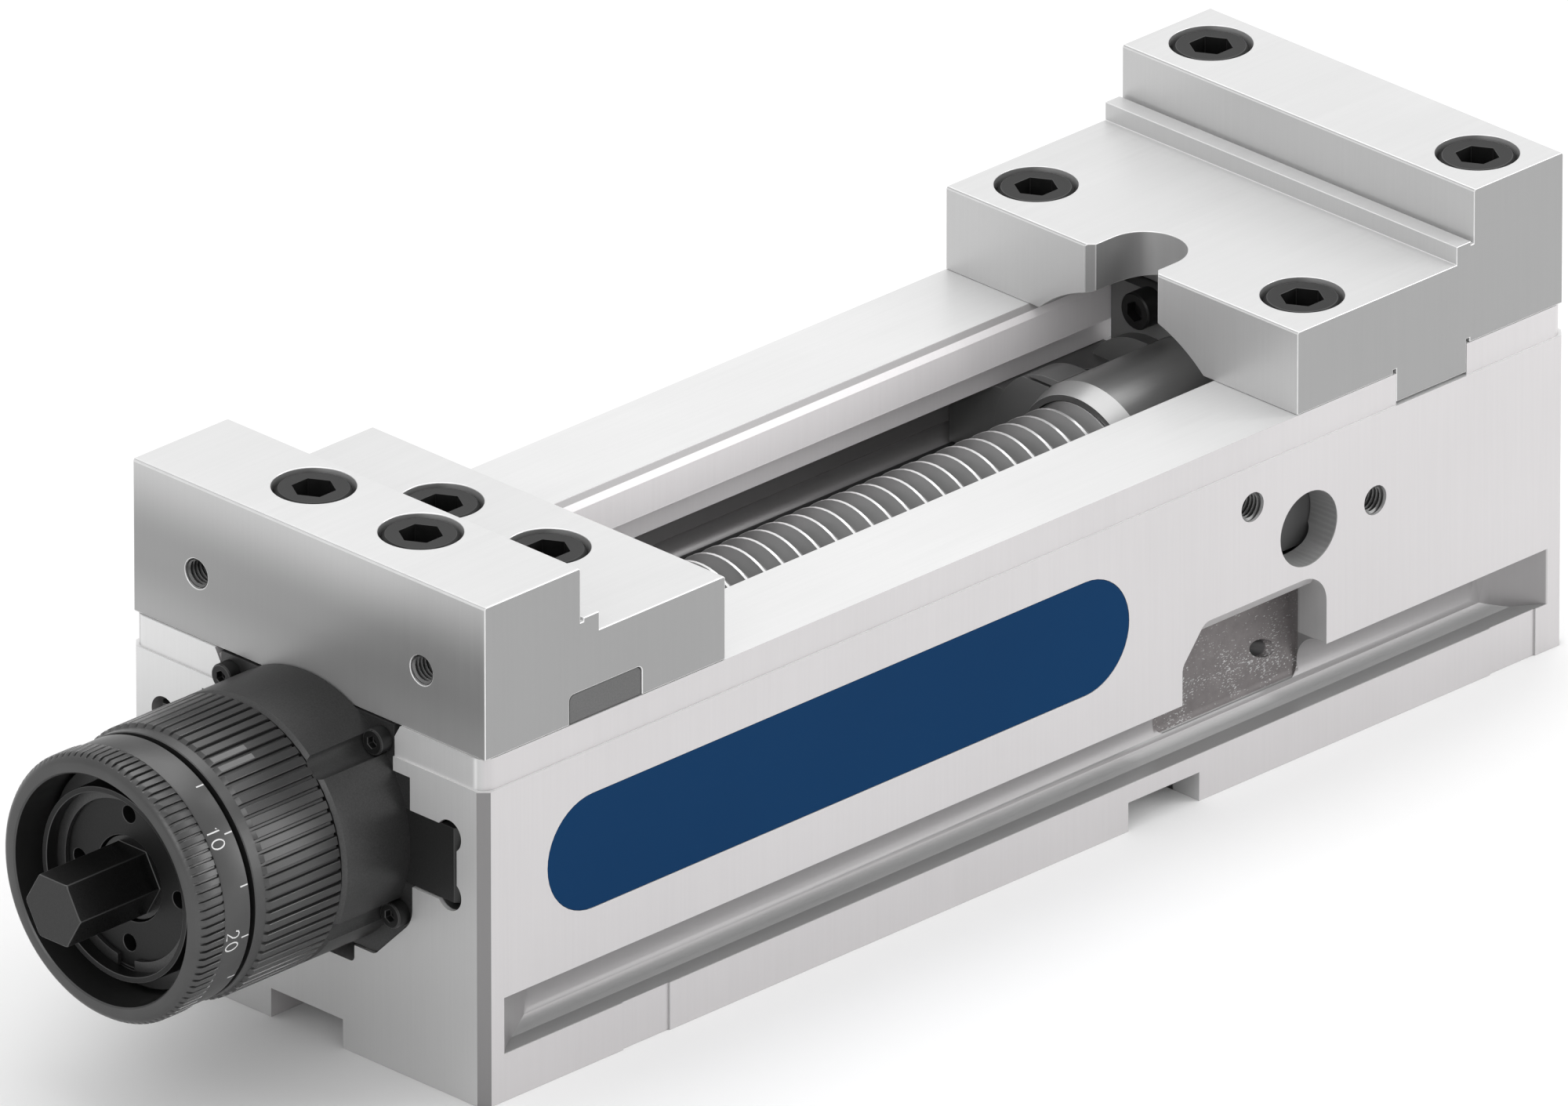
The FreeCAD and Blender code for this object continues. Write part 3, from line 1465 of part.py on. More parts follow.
def split_ring(name, label, start, width, inner, outer):
    """A flat spring ring with a gap at its lowest point."""
    body = new_body(name)
    fit = S.screw_fit / 2
    turned(body, f"{name}_profile", [
        (start + fit, inner),
        (start + width - fit, inner),
        (start + width - fit, outer),
        (start + fit, outer),
    ])
    gap = new_sketch(body, f"{name}_gap", "YZ", at=start)
    half = S.snap_opening / 2
    add_outline(gap, box_outline(-half, half, S.axis_height - outer - S.overcut,
                                 S.axis_height - inner + S.overcut))
    pocket(body, gap, both_ways=True)
    return node(body, label)


def build_preset_ring():
    """The force ring: a finely fluted rim in front and a smooth band for the scale behind it."""
    outside = new_body("ring_outside")
    knurl_rear = ring_front + S.ring_knurl_length
    band = S.ring_radius - S.ring_scale_step
    root_radius = S.ring_radius - S.ring_flute_depth * 2
    turned(outside, "ring_outline", [
        (ring_front, 0),
        (ring_rear, 0),
        (ring_rear, band),
        (knurl_rear, band),
        (knurl_rear, root_radius),
        (ring_front, root_radius),
    ])
    flutes = flute_prism("ring_flutes", S.ring_radius, S.ring_flute_depth, S.ring_flutes, ring_front,
                         S.ring_knurl_length)
    inside = new_body("ring_inside")
    groove = S.sleeve_neck_radius + S.snap_reach + S.turning_gap
    turned(inside, "ring_bores", [
        (ring_front - S.overcut, 0),
        (ring_rear + S.overcut, 0),
        (ring_rear + S.overcut, S.ring_bore),
        (snap_front + S.snap_width + S.turning_gap, S.ring_bore),
        (snap_front + S.snap_width + S.turning_gap, groove),
        (snap_front - S.turning_gap, groove),
        (snap_front - S.turning_gap, S.ring_bore),
        (ring_front - S.overcut, S.ring_bore),
    ])
    ring = cut_of("hollow_ring", fuse_of("solid_ring", [outside, flutes]), inside)
    return node(ring, "preset_ring")


def build_hex_shaft():
    """The hexagon that the crank turns, with a journal in the disc, a collar and a nose."""
    body = new_body("hex_body")
    journal_start = disc_front + S.hex_journal_sink
    turned(body, "hex_profile", [
        (journal_start, 0),
        (nose_rear, 0),
        (nose_rear, S.hex_nose_radius),
        (nose_front, S.hex_nose_radius),
        (nose_front, S.hex_collar_radius),
        (collar_front, S.hex_collar_radius),
        (collar_front, S.hex_journal_radius),
        (journal_start, S.hex_journal_radius),
    ])
    drive = new_sketch(body, "hex_section", "YZ", at=hex_end, lift=S.axis_height)
    add_outline(drive, hexagon(S.hex_flats))
    pad(body, drive, journal_start - hex_end)
    bevel = new_sketch(body, "hex_bevel", "XZ", lift=S.axis_height)
    beyond = S.hex_flats
    add_outline(bevel, [
        (hex_end - S.overcut, S.hex_end_radius),
        (hex_end, S.hex_end_radius),
        (hex_end + (beyond - S.hex_end_radius) * S.hex_bevel_slope, beyond),
        (hex_end - S.overcut, beyond),
    ])
    groove = body.newObject("PartDesign::Groove", "hex_end_bevel")
    groove.Profile = bevel
    groove.ReferenceAxis = (bevel, ["H_Axis"])
    groove.Angle = 360
    return node(body, "hex_shaft")


ALONG_SCREW = FreeCAD.Rotation(FreeCAD.Vector(0, 1, 0), 90)
detent_reach = (S.sleeve_neck_radius + S.sleeve_radius) / 2

FIXED_ROWS = [(fixed_face + S.fixed_front_screw, S.jaw_low_step),
              (fixed_face + S.fixed_rear_screw, S.jaw_height)]
MOVABLE_ROWS = [(movable_front + S.movable_front_screw, S.jaw_height),
                (movable_front + S.movable_rear_screw, S.jaw_low_step)]

build_body_block()
build_side_label()
build_fixed_jaw()
build_jaw_screws("fixed_jaw_screws", FIXED_ROWS, fixed_screw_half)
build_nut_carrier()
build_side_screws("nut_carrier_screws",
                  [(sign * S.carrier_screw_half, body_height - S.carrier_screw_drop) for sign in (-1, 1)],
                  (S.small_head_radius, S.small_head_height),
                  (S.small_bolt_radius, S.carrier_lug + S.slide_gap + S.small_engagement),
                  S.small_hex, carrier_rear - S.carrier_lug - S.small_head_height)
build_nut()
build_nut_pins()
build_slide_block()
build_guide_wing("guide_wing_left", 1)
build_guide_wing("guide_wing_right", -1)
build_wing_pins()
build_jaw_key()
build_movable_jaw()
build_jaw_screws("movable_jaw_screws", MOVABLE_ROWS, S.movable_screw_half)
build_drive_housing()
build_side_screws("flange_screws",
                  [(across, S.axis_height + up) for across, up in flange_screw_places()],
                  (S.flange_head_radius, S.flange_head_height),
                  (S.flange_bolt_radius, S.flange_thickness + S.small_engagement - S.overcut),
                  S.flange_hex, slide_front - S.flange_head_height)
build_rear_wall()
build_thrust_bearing()
build_housing_seal()
build_spindle()
build_sleeve()
build_detent_pin()
build_pull_nut()
build_disc_springs()
build_plunger()
build_cup()
build_cover_disc()
split_ring("circlip", "disc_circlip", disc_front - S.circlip_width, S.circlip_width,
           S.cup_radius - S.cup_wall - S.circlip_reach, S.cup_radius - S.cup_wall / 2 - S.screw_fit)
split_ring("ring_clip", "ring_snap", snap_front, S.snap_width,
           S.sleeve_neck_radius - S.snap_reach + S.turning_gap + S.screw_fit,
           S.sleeve_neck_radius + S.snap_reach)
build_preset_ring()
build_hex_shaft()

doc.recompute()
for thing in doc.Objects:
    if "Invalid" in thing.State or "Error" in thing.State:
        raise RuntimeError(f"{thing.Name} failed: {thing.State} {thing.getStatusString()}")
os.makedirs("parts", exist_ok=True)
for thing in NODES:
    if thing.Shape.isNull() or not thing.Shape.isValid() or not thing.Shape.Solids:
        raise RuntimeError(f"{thing.Label} has no valid solid")
for thing in NODES:
    thing.Shape.exportStep(f"parts/{thing.Label}.step")
    print(thing.Label, len(thing.Shape.Solids), round(thing.Shape.Volume / 1000, 2))
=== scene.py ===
"""Looks of the machine vise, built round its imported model.

The body, jaws, slide and small parts keep their solids and get ground or blackened steel with softened edges.
New pieces stand for the screw, the sleeve and the force ring, and add their thread, flutes and scale, and the
threads in the tapped holes. Shapes are written in millimetres in the model's frame and made in metres.
"""
import math

import bmesh
import bpy
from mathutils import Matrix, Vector


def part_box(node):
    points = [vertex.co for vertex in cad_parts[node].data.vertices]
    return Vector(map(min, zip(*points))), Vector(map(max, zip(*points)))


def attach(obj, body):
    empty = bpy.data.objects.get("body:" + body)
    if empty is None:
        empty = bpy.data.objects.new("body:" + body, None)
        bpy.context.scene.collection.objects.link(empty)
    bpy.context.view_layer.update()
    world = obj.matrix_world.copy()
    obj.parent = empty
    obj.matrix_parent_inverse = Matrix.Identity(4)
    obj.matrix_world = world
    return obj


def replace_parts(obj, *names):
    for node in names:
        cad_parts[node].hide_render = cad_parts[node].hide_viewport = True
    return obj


MM = 0.001
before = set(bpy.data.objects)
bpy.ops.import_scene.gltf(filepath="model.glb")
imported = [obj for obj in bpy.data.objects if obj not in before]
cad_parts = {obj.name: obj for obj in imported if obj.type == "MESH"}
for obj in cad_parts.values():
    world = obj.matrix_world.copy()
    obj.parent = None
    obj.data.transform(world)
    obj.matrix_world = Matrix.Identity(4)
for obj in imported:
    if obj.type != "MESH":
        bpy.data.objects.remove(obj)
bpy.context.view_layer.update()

# The photograph is a parallel view from the front right, from above; its width and middle are in millimetres
PHOTO_AZIMUTH = math.radians(-45)
PHOTO_ELEVATION = math.radians(25.13)
PHOTO_WIDTH = 394.7
AIM = Vector((-24.8, 0, 76.55)) * MM
LENS = 1100
SENSOR = 36
FAR = 60

# The channel and the sides of the body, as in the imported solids: half widths across, levels above the base
MOUTH_HALF = 32.9
UNDERCUT_HALF = 37.0
GUIDE_HALF = 53.5
CHANNEL_FLOOR = 30.0
GUIDE_FLOOR = 53.0
GUIDE_TOP = 74.0
UNDERCUT_TOP = 83.0
WAY_FOOT = 86.9
BODY_TOP = 95.5
SIDE = 63.1
COVE_FOOT, COVE_TOP, COVE_HALF, COVE_END = 13.1, 28.6, 52.55, 186.5
RECESS_START, RECESS_END = 54.3, 106.2
RECESS_FOOT, RECESS_TOP = 16.6, 49.2
RECESS_LEAN, RECESS_WALL = 0.1326, 52.3
STOP_ALONG, STOP_UP, STOP_RADIUS = 99.65, 63.0, 10.25

# The tapped M8 holes round the side bores and in the near jaw, and their threads
STOP_REACH, STOP_LEAN, STOP_DEPTH = 24.0, 32.0, 7.0
FACE_HALF, FACE_UP, FACE_DEPTH = 40.0, 17.5, 15.5
TAPPED_START, TAPPED_CREST, TAPPED_ROOT, TAPPED_PITCH = 0.7, 3.35, 3.98, 1.25

# The screw, the sleeve and the force ring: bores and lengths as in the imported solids, flutes and thread finer
AXIS = 63.5
THREAD_PITCH, THREAD_DEPTH = 6.4, 3.4
JOURNAL, JOURNAL_BORE, SCREW_BORE, SCREW_BORE_DEPTH = 15.0, 15.15, 6.1, 10.0
SLEEVE_FLUTES, SLEEVE_FLUTE_DEPTH = 72, 0.9
SLEEVE_NECK, SLEEVE_NECK_LENGTH = 30.2, 7.0
SLEEVE_BOSS, SLEEVE_WALL = 29.7, 12.0
CUP_BORE, CUP_DEPTH, SPRING_CHAMBER = 25.85, 8.3, 25.0
RING_FLUTES, RING_FLUTE_DEPTH = 96, 0.75
RING_BORE, RING_KNURL_LENGTH = 30.6, 9.3
SHARP_FLUTE = ((-0.40, 1), (-0.33, 0.1), (-0.29, 0), (0.29, 0), (0.33, 0.1), (0.40, 1))

# The ring's scale: degrees for a step of five, and the place of ten
SCALE_STEP, SCALE_TEN = 22.6, 35.0


def span(node):
    """The node's lowest and highest corner, in millimetres."""
    low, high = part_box(node)
    return low / MM, high / MM


class Wire:
    """One socket of a material; an expression on number sockets adds its Math nodes."""

    def __init__(self, finish, socket):
        self.finish = finish
        self.socket = socket

    def math(self, operation, *values):
        return self.finish.add("ShaderNodeMath", {"operation": operation}, dict(enumerate(values)))

    def __add__(self, other):
        return self.math("ADD", self, other)

    def __sub__(self, other):
        return self.math("SUBTRACT", self, other)

    def __rsub__(self, other):
        return self.math("SUBTRACT", other, self)

    def __mul__(self, other):
        return self.math("MULTIPLY", self, other)

    def __abs__(self):
        return self.math("ABSOLUTE", self)

    __radd__ = __add__
    __rmul__ = __mul__


class Finish:
    """A material with one Principled surface, written as expressions on its wires."""

    def __init__(self, name):
        self.material = bpy.data.materials.new(name)
        self.material.use_nodes = True
        self.tree = self.material.node_tree
        self.surface = self.tree.nodes["Principled BSDF"]

    def add(self, kind, settings, sockets, out=0):
        """A node with its settings, then its sockets' values or links; gives one of its outputs."""
        node = self.tree.nodes.new(kind)
        for name, setting in settings.items():
            setattr(node, name, setting)
        for place, value in sockets.items():
            self.feed(node.inputs[place], value)
        return Wire(self, node.outputs[out])

    def feed(self, socket, value):
        """Links a wire to a socket, or sets the socket's own value."""
        if isinstance(value, Wire):
            self.tree.links.new(value.socket, socket)
        elif socket.type == "RGBA" and len(value) == 3:
            socket.default_value = (*value, 1)
        else:
            socket.default_value = value

    def give(self, **sockets):
        """Feeds the surface's own sockets."""
        for name, value in sockets.items():
            self.feed(self.surface.inputs[name.replace("_", " ")], value)
        return self

    def on_object(self, out):
        """Places on the object in metres, or the way its surface faces."""
        return self.add("ShaderNodeTexCoord", {}, {}, out)

    def part(self, vector, axis):
        """One part of a vector."""
        return self.add("ShaderNodeSeparateXYZ", {}, {"Vector": vector}, axis)

    def facing(self, axis):
        """How far the surface faces along one of the object's axes, either way, from 0 to 1."""
        return abs(self.part(self.on_object("Normal"), axis))

    def grain(self, per_metre, stretch=(1, 1, 1), detail=3, roughness=0.5):
        """Noise with so many spots to the metre, stretched along the object's axes, from 0 to 1."""
        place = self.add("ShaderNodeMapping", {}, {"Vector": self.on_object("Object"), "Scale": stretch})
        return self.add("ShaderNodeTexNoise", {}, {"Vector": place, "Scale": per_metre, "Detail": detail,
                                                   "Roughness": roughness})

    def step(self, value, low, high):
        """Goes from 0 to 1 as the value goes from low to high."""
        return self.add("ShaderNodeMapRange", {"interpolation_type": "SMOOTHSTEP"}, {0: value, 1: low, 2: high})

    def above(self, place, edge, soft):
        """1 above an edge that is so many millimetres soft, 0 below it."""
        return self.step(place, edge * MM, (edge + soft) * MM)

    def below(self, place, edge, soft):
        """1 below an edge that is so many millimetres soft, 0 above it."""
        return self.step(place, edge * MM, (edge - soft) * MM)

    def blend(self, share, first, second):
        """Goes from the first colour to the second."""
        return self.add("ShaderNodeMix", {"data_type": "RGBA"}, {0: share, 6: first, 7: second}, 2)

    def bumps(self, height, distance):
        """Feeds the surface's normal from a height, in millimetres for a height of 1."""
        bump = self.add("ShaderNodeBump", {}, {"Height": height, "Distance": distance * MM, "Strength": 1.0})
        return self.give(Normal=bump)


def grey(level):
    """A neutral colour."""
    return (level, level, level)


def shade(colour, share):
    """A colour made darker or lighter."""
    return [part * share for part in colour]


def unshaded(finish, along, across, up):
    """No painted light or shade, no cast skin and no matt place."""
    return 1, 0, 0


def channel_zones(finish, along, across, up, recess):
    """Painted light in the channel: painted shade on its walls, more on its foot and less in the guide groove,
    a painted highlight on the ways' inner faces and the undercut, and a painted shade strip on their broken
    edge.
    """
    above, below = finish.above, finish.below
    between_ends = below(abs(along), span("body_block")[1].x - 1.0, 0.4)
    # Painted highlight on the undercut and the ways' inner faces; painted shade on the channel's walls and
    # foot.
    undercut = below(across, UNDERCUT_HALF + 0.4, 0.3) * above(up, GUIDE_TOP - 0.4, 0.3)
    undercut = undercut * below(up, UNDERCUT_TOP + 0.4, 0.4) * between_ends
    channel = below(across, GUIDE_HALF + 0.3, 0.2) * below(up, UNDERCUT_TOP + 0.4, 0.6)
    channel = channel * above(up, CHANNEL_FLOOR - 1.4, 0.4) * between_ends * (1 - recess) * (1 - undercut)
    foot = channel * below(up, GUIDE_FLOOR + 1.0, 4.0)
    guide = above(across, UNDERCUT_HALF + 0.4, 0.4) * above(up, GUIDE_FLOOR - 0.2, 0.4)
    ways = below(across, MOUTH_HALF + 0.3, 0.2) * above(up, UNDERCUT_TOP - 0.1, 0.4) * between_ends
    ways = ways * below(up, BODY_TOP, 0.2)
    # Painted shade strip along the top of the ways' mouth, standing in for their broken edge.
    broken_edge_shade = ways * above(up, BODY_TOP - 1.7, 0.2)
    return channel * (1 - guide * 0.55), foot, ways + undercut, broken_edge_shade


def body_zones(finish, along, across, up):
    """The body's painted light and shade by place: painted shade in the channel, the coves, the side bores, the
    drains and on the corners, a painted highlight inside the ways and up the front, and a cast skin in the
    recesses."""
    above, below = finish.above, finish.below
    end = span("body_block")[1].x
    recess = above(along, RECESS_START - 0.3, 0.5) * below(along, RECESS_END + 0.4, 0.5)
    recess = recess * below(up, RECESS_TOP + 0.7, 0.5)
    wall = across + RECESS_LEAN * (up - RECESS_FOOT * MM)
    skin = below(across, GUIDE_HALF - 0.3, 0.4) * recess * above(wall, RECESS_WALL - 1.5, 0.4)
    # Painted shade inside the drain holes in the recesses' back walls.
    drain = below(wall, RECESS_WALL - 0.3, 0.6) * recess
    channel, foot, bright, broken_edge_shade = channel_zones(finish, along, across, up, recess)
    # Painted shade in the coves along the sides.
    cove = below(across, SIDE - 0.1, 0.3) * above(across, COVE_HALF - 1.05, 0.3)
    cove = cove * above(up, COVE_FOOT - 0.2, 0.1) * below(up, COVE_TOP + 0.2, 0.3)
    cove = cove * below(abs(along), COVE_END + 0.3, 0.4)
    # Painted shade inside the side bores.
    beside, over = along - STOP_ALONG * MM, up - STOP_UP * MM
    rim, inner = ((STOP_RADIUS + soft) ** 2 * MM * MM for soft in (0.1, -0.1))
    bore = finish.step(beside * beside + over * over, rim, inner) * below(across, SIDE - 0.1, 0.4)
    endways = finish.facing("X")
    # Painted shade on the rounded upright corners, and a painted highlight up the front face.
    corner = above(abs(along), end - 3.0, 0.4) * above(across, SIDE - 2.8, 0.3) * below(up, WAY_FOOT - 0.1, 0.2)
    corner = corner * finish.step(endways, 0.5, 0.6) * finish.step(endways, 0.85, 0.8)
    front = below(along, 1.4 - end, 0.4) * finish.step(endways, 0.9, 0.97)
    # Painted light: shade in the channel and its foot, the bores, the drains, the coves and on the corners, a
    # highlight up the front and inside the ways, less the shade strip on their broken edge.
    painted_light_tone = (1 - channel * 0.74 - foot * 0.2) * (1 - bore * 0.55) * (1 - drain * 0.9) * (1 - cove * 0.5)
    painted_light_tone = painted_light_tone * (1 - corner * 0.6) * (1 + front * above(up, 45, 50) * 0.4)
    return painted_light_tone + bright * 0.68 - broken_edge_shade * 0.93, skin, bright


def jaw_zones(finish, along, across, up):
    """The jaws' painted shade by place: painted shade darkens the near jaw's front below its top, less towards
    its foot.
    """
    low, high = span("movable_jaw")
    front = finish.below(along, low.x + 0.6, 0.4)
    shaded = finish.below(up, high.z + 2, 22)
    foot = finish.below(up, low.z + 16, 16)
    return 1 - front * (shaded * 0.44 - foot * 0.16), 0, 0


def ground_steel(name, top, side, front, roughness=0.36, metal=0.45, zones=unshaded):
    """Bright steel with grinding marks; its three face directions get different colours, which are painted
    light and shade.
    """
    finish = Finish(name)
    upward, endways = finish.facing("Z"), finish.facing("X")
    # Painted light and shade: each face takes the top, side or front colour by the way it turns.
    face = finish.blend(finish.step(endways, 0.6, 0.9), side, front)
    face = finish.blend(finish.step(upward, 0.6, 0.9), face, top)
    along, across, up = (finish.part(finish.on_object("Object"), axis) for axis in "XYZ")
    painted_light_tone, skin, matt = zones(finish, along, abs(across), up)
    upright_marks = finish.grain(1400, (1, 1, 0.02), 4)
    long_marks = finish.grain(1100, (0.02, 1, 1), 4)
    flat = finish.step(upward, 0.5, 0.9)
    marks = upright_marks * (1 - flat) + long_marks * flat
    blotches = finish.grain(18, detail=2)
    # Grinding marks and blotches vary the steel's own colour; the zones' factor on top of them is painted light
    # and shade.
    level = (0.92 + marks * 0.07 + blotches * 0.09) * painted_light_tone
    lit = finish.add("ShaderNodeVectorMath", {"operation": "SCALE"}, {0: face, "Scale": level})
    sparks = finish.step(finish.grain(2600, detail=1), 0.72, 0.8)
    height = marks + sparks * 0.4
    if isinstance(skin, Wire):
        pits = finish.grain(300, detail=5, roughness=0.6)
        patches = finish.step(finish.grain(70, detail=2), 0.42, 0.60) * finish.below(up, 44, 22)
        flecks = finish.step(finish.grain(3000, (0.4, 1, 1), 2) + patches * 0.12, 0.68, 0.73)
        cast = finish.blend(pits, (0.115, 0.105, 0.105), (0.20, 0.185, 0.185))
        lit = finish.blend(skin, lit, finish.blend(flecks, cast, grey(0.42)))
        height = height + skin * pits * 25
    finish.give(Base_Color=lit, Metallic=metal - matt * metal,
                Roughness=roughness - 0.05 + marks * 0.12 + sparks * 0.1 + skin * 0.2)
    return finish.bumps(height, 0.003).material


def polished_edge(name, colour, roughness):
    """The line along a rounded edge, with a faint mottle: a light colour makes it a painted highlight, a dark
    one a painted shade line.
    """
    finish = Finish(name)
    rubbed = finish.grain(300, detail=2)
    finish.give(Base_Color=finish.blend(rubbed, colour, shade(colour, 0.85)), Metallic=0.7,
                Roughness=roughness + rubbed * 0.1)
    return finish.material


def dark_steel(name, colour, roughness, metallic=0.75, speckle=0.35):
    """Blackened steel with a fine speckle."""
    finish = Finish(name)
    fine = finish.grain(2200, detail=4)
    cloud = finish.grain(45, detail=3)
    sparks = finish.step(finish.grain(3000, detail=1), 0.66, 0.78)
    lit = finish.blend(fine * 0.7 + cloud * 0.3, shade(colour, 1 - speckle), shade(colour, 1 + speckle))
    finish.give(Base_Color=lit, Metallic=metallic, Roughness=roughness - 0.05 + cloud * 0.1 - sparks * 0.12)
    return finish.bumps(fine, 0.012).material


def worn_steel(name, colour, worn_and_lit, roughness):
    """Dark turned or milled steel whose edges, marked on the mesh, are light: partly rubbed wear, partly a
    painted highlight.
    """
    finish = Finish(name)
    wear_and_highlight = finish.add("ShaderNodeAttribute", {"attribute_name": "wear_and_highlight"}, {}, "Fac")
    fine = finish.grain(1500, detail=4)
    # Rubbed wear and a painted highlight share this light edge colour.
    rubbed = finish.step(wear_and_highlight + fine * 0.35, 0.75, 1.15)
    dull = finish.blend(finish.grain(60, detail=3), shade(colour, 0.8), shade(colour, 1.2))
    finish.give(Base_Color=finish.blend(rubbed, dull, worn_and_lit), Metallic=0.85, Roughness=roughness - rubbed * 0.12)
    return finish.bumps(fine, 0.01).material


def label_film():
    """Printed film with little shine, plain blue."""
    finish = Finish("label_film")
    cloud = finish.grain(9, detail=2)
    finish.give(Base_Color=finish.blend(cloud, (0.001, 0.027, 0.086), (0.001, 0.034, 0.105)), Roughness=0.42,
                Specular_IOR_Level=0.05)
    return finish.bumps(finish.grain(900, detail=3), 0.004).material


def black_oxide():
    """Screws: oily black with a faint sheen."""
    finish = Finish("black_oxide")
    cloud = finish.grain(240, detail=3)
    finish.give(Base_Color=finish.blend(cloud, grey(0.010), grey(0.028)), Metallic=0.6,
                Roughness=0.36 + cloud * 0.14)
    return finish.bumps(finish.grain(2600, detail=3), 0.006).material


def seal_rubber():
    """Matt black rubber."""
    finish = Finish("seal_rubber")
    dust = finish.grain(700, detail=4)
    finish.give(Base_Color=finish.blend(dust, grey(0.012), grey(0.03)), Roughness=0.7 + dust * 0.2)
    return finish.bumps(dust, 0.02).material


def thin_paint(name, level):
    """Thin paint of the scale and the index, slightly rubbed."""
    finish = Finish(name)
    rubbed = finish.grain(1200, detail=3)
    finish.give(Base_Color=finish.blend(rubbed, grey(level * 0.75), grey(level)), Roughness=0.5 + rubbed * 0.2)
    return finish.material


def plain_floor():
    """Pale matt floor."""
    finish = Finish("pale_floor")
    cloud = finish.grain(3, detail=2)
    finish.give(Base_Color=finish.blend(cloud, grey(0.86), grey(0.88)), Roughness=0.9)
    return finish.material


# The top, side and front colours given to each ground steel are painted light and shade, set apart for the way
# each face turns.
BODY_STEEL = ground_steel("body_steel", grey(0.74), (0.565, 0.55, 0.555), grey(0.54), zones=body_zones)
JAW_STEEL = ground_steel("jaw_steel", grey(0.68), grey(0.30), grey(0.55), zones=jaw_zones)
# Edge lines are painted light: STEEL_EDGE, DARK_EDGE and OXIDE_EDGE, mostly lighter than their parts, are
# painted highlights; BODY_EDGE, darker than the body, is a painted shade line.
STEEL_EDGE = polished_edge("steel_edge", grey(0.8), 0.3)
BODY_EDGE = polished_edge("body_edge", grey(0.24), 0.45)
DARK_STEEL = dark_steel("dark_steel", grey(0.042), 0.42)
KEY_STEEL = dark_steel("key_steel", grey(0.13), 0.4)
UNIT_STEEL = dark_steel("unit_steel", grey(0.070), 0.42, speckle=0.45)
CUP_STEEL = dark_steel("cup_steel", grey(0.024), 0.45)
HEX_STEEL = dark_steel("hex_steel", grey(0.045), 0.3, 0.9, 0.2)
DARK_EDGE = polished_edge("dark_edge", grey(0.09), 0.35)
# Their light second colours are partly rubbed wear and partly a painted highlight on edges and crests.
FLUTE_STEEL = worn_steel("flute_steel", grey(0.085), grey(0.17), 0.36)
SCREW_STEEL = worn_steel("screw_steel", grey(0.27), grey(0.9), 0.36)
TAPPED_STEEL = worn_steel("tapped_steel", grey(0.16), grey(0.6), 0.34)
NUT_STEEL = ground_steel("nut_steel", grey(0.36), grey(0.32), grey(0.26), 0.3, 0.75)
CARRIER_STEEL = ground_steel("carrier_steel", grey(0.16), grey(0.13), grey(0.26), 0.38)
LABEL = label_film()
OXIDE = black_oxide()
OXIDE_EDGE = polished_edge("oxide_edge", grey(0.08), 0.35)
RUBBER = seal_rubber()
SCALE_PAINT = thin_paint("scale_paint", 0.75)
INDEX_PAINT = thin_paint("index_paint", 0.17)


def crisp_shading():
    """A modifier's group that shades smoothly but for the edges sharper than its angle."""
    group = bpy.data.node_groups.new("crisp_shading", "GeometryNodeTree")
    group.interface.new_socket("Geometry", in_out="INPUT", socket_type="NodeSocketGeometry")
    group.interface.new_socket("Angle", in_out="INPUT", socket_type="NodeSocketFloat")
    group.interface.new_socket("Geometry", in_out="OUTPUT", socket_type="NodeSocketGeometry")
    start, end = group.nodes.new("NodeGroupInput"), group.nodes.new("NodeGroupOutput")
    faces, edges = (group.nodes.new("GeometryNodeSetShadeSmooth") for number in range(2))
    edges.domain = "EDGE"
    bend = group.nodes.new("GeometryNodeInputMeshEdgeAngle")
    gentle = group.nodes.new("FunctionNodeCompare")
    gentle.operation = "LESS_EQUAL"
    group.links.new(start.outputs["Geometry"], faces.inputs["Geometry"])
    group.links.new(bend.outputs["Unsigned Angle"], gentle.inputs[0])
    group.links.new(start.outputs["Angle"], gentle.inputs[1])
    group.links.new(faces.outputs["Geometry"], edges.inputs["Geometry"])
    group.links.new(gentle.outputs["Result"], edges.inputs["Shade Smooth"])
    group.links.new(edges.outputs["Geometry"], end.inputs["Geometry"])
    return group


CRISP = crisp_shading()

# Points nearer than this, in millimetres, are welded; faces within this bend are one; sharper edges are rounded
WELD = 0.002
FLAT_WITHIN = math.radians(0.6)
ROUNDED_FROM = math.radians(35)


def dress(nodes, material, edge, width, crease=27):
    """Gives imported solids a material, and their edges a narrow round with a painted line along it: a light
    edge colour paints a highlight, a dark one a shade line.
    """
    for name in nodes:
        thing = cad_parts[name]
        for slot in thing.material_slots:
            slot.material = material
        thing.data.materials.append(edge)
        weld = thing.modifiers.new("one_skin", "WELD")
        weld.merge_threshold = WELD * MM
        flat = thing.modifiers.new("whole_faces", "DECIMATE")
        flat.decimate_type = "DISSOLVE"
        flat.angle_limit = FLAT_WITHIN
        crisp = thing.modifiers.new("crisp_shading", "NODES")
        crisp.node_group = CRISP
        crisp["Socket_1"] = math.radians(crease)
        bevel = thing.modifiers.new("soft_edges", "BEVEL")
        bevel.width = width * MM
        bevel.segments = 2
        bevel.limit_method = "ANGLE"
        bevel.angle_limit = ROUNDED_FROM
        bevel.material = len(thing.material_slots) - 1
        bevel.harden_normals = True
        bevel.use_clamp_overlap = True


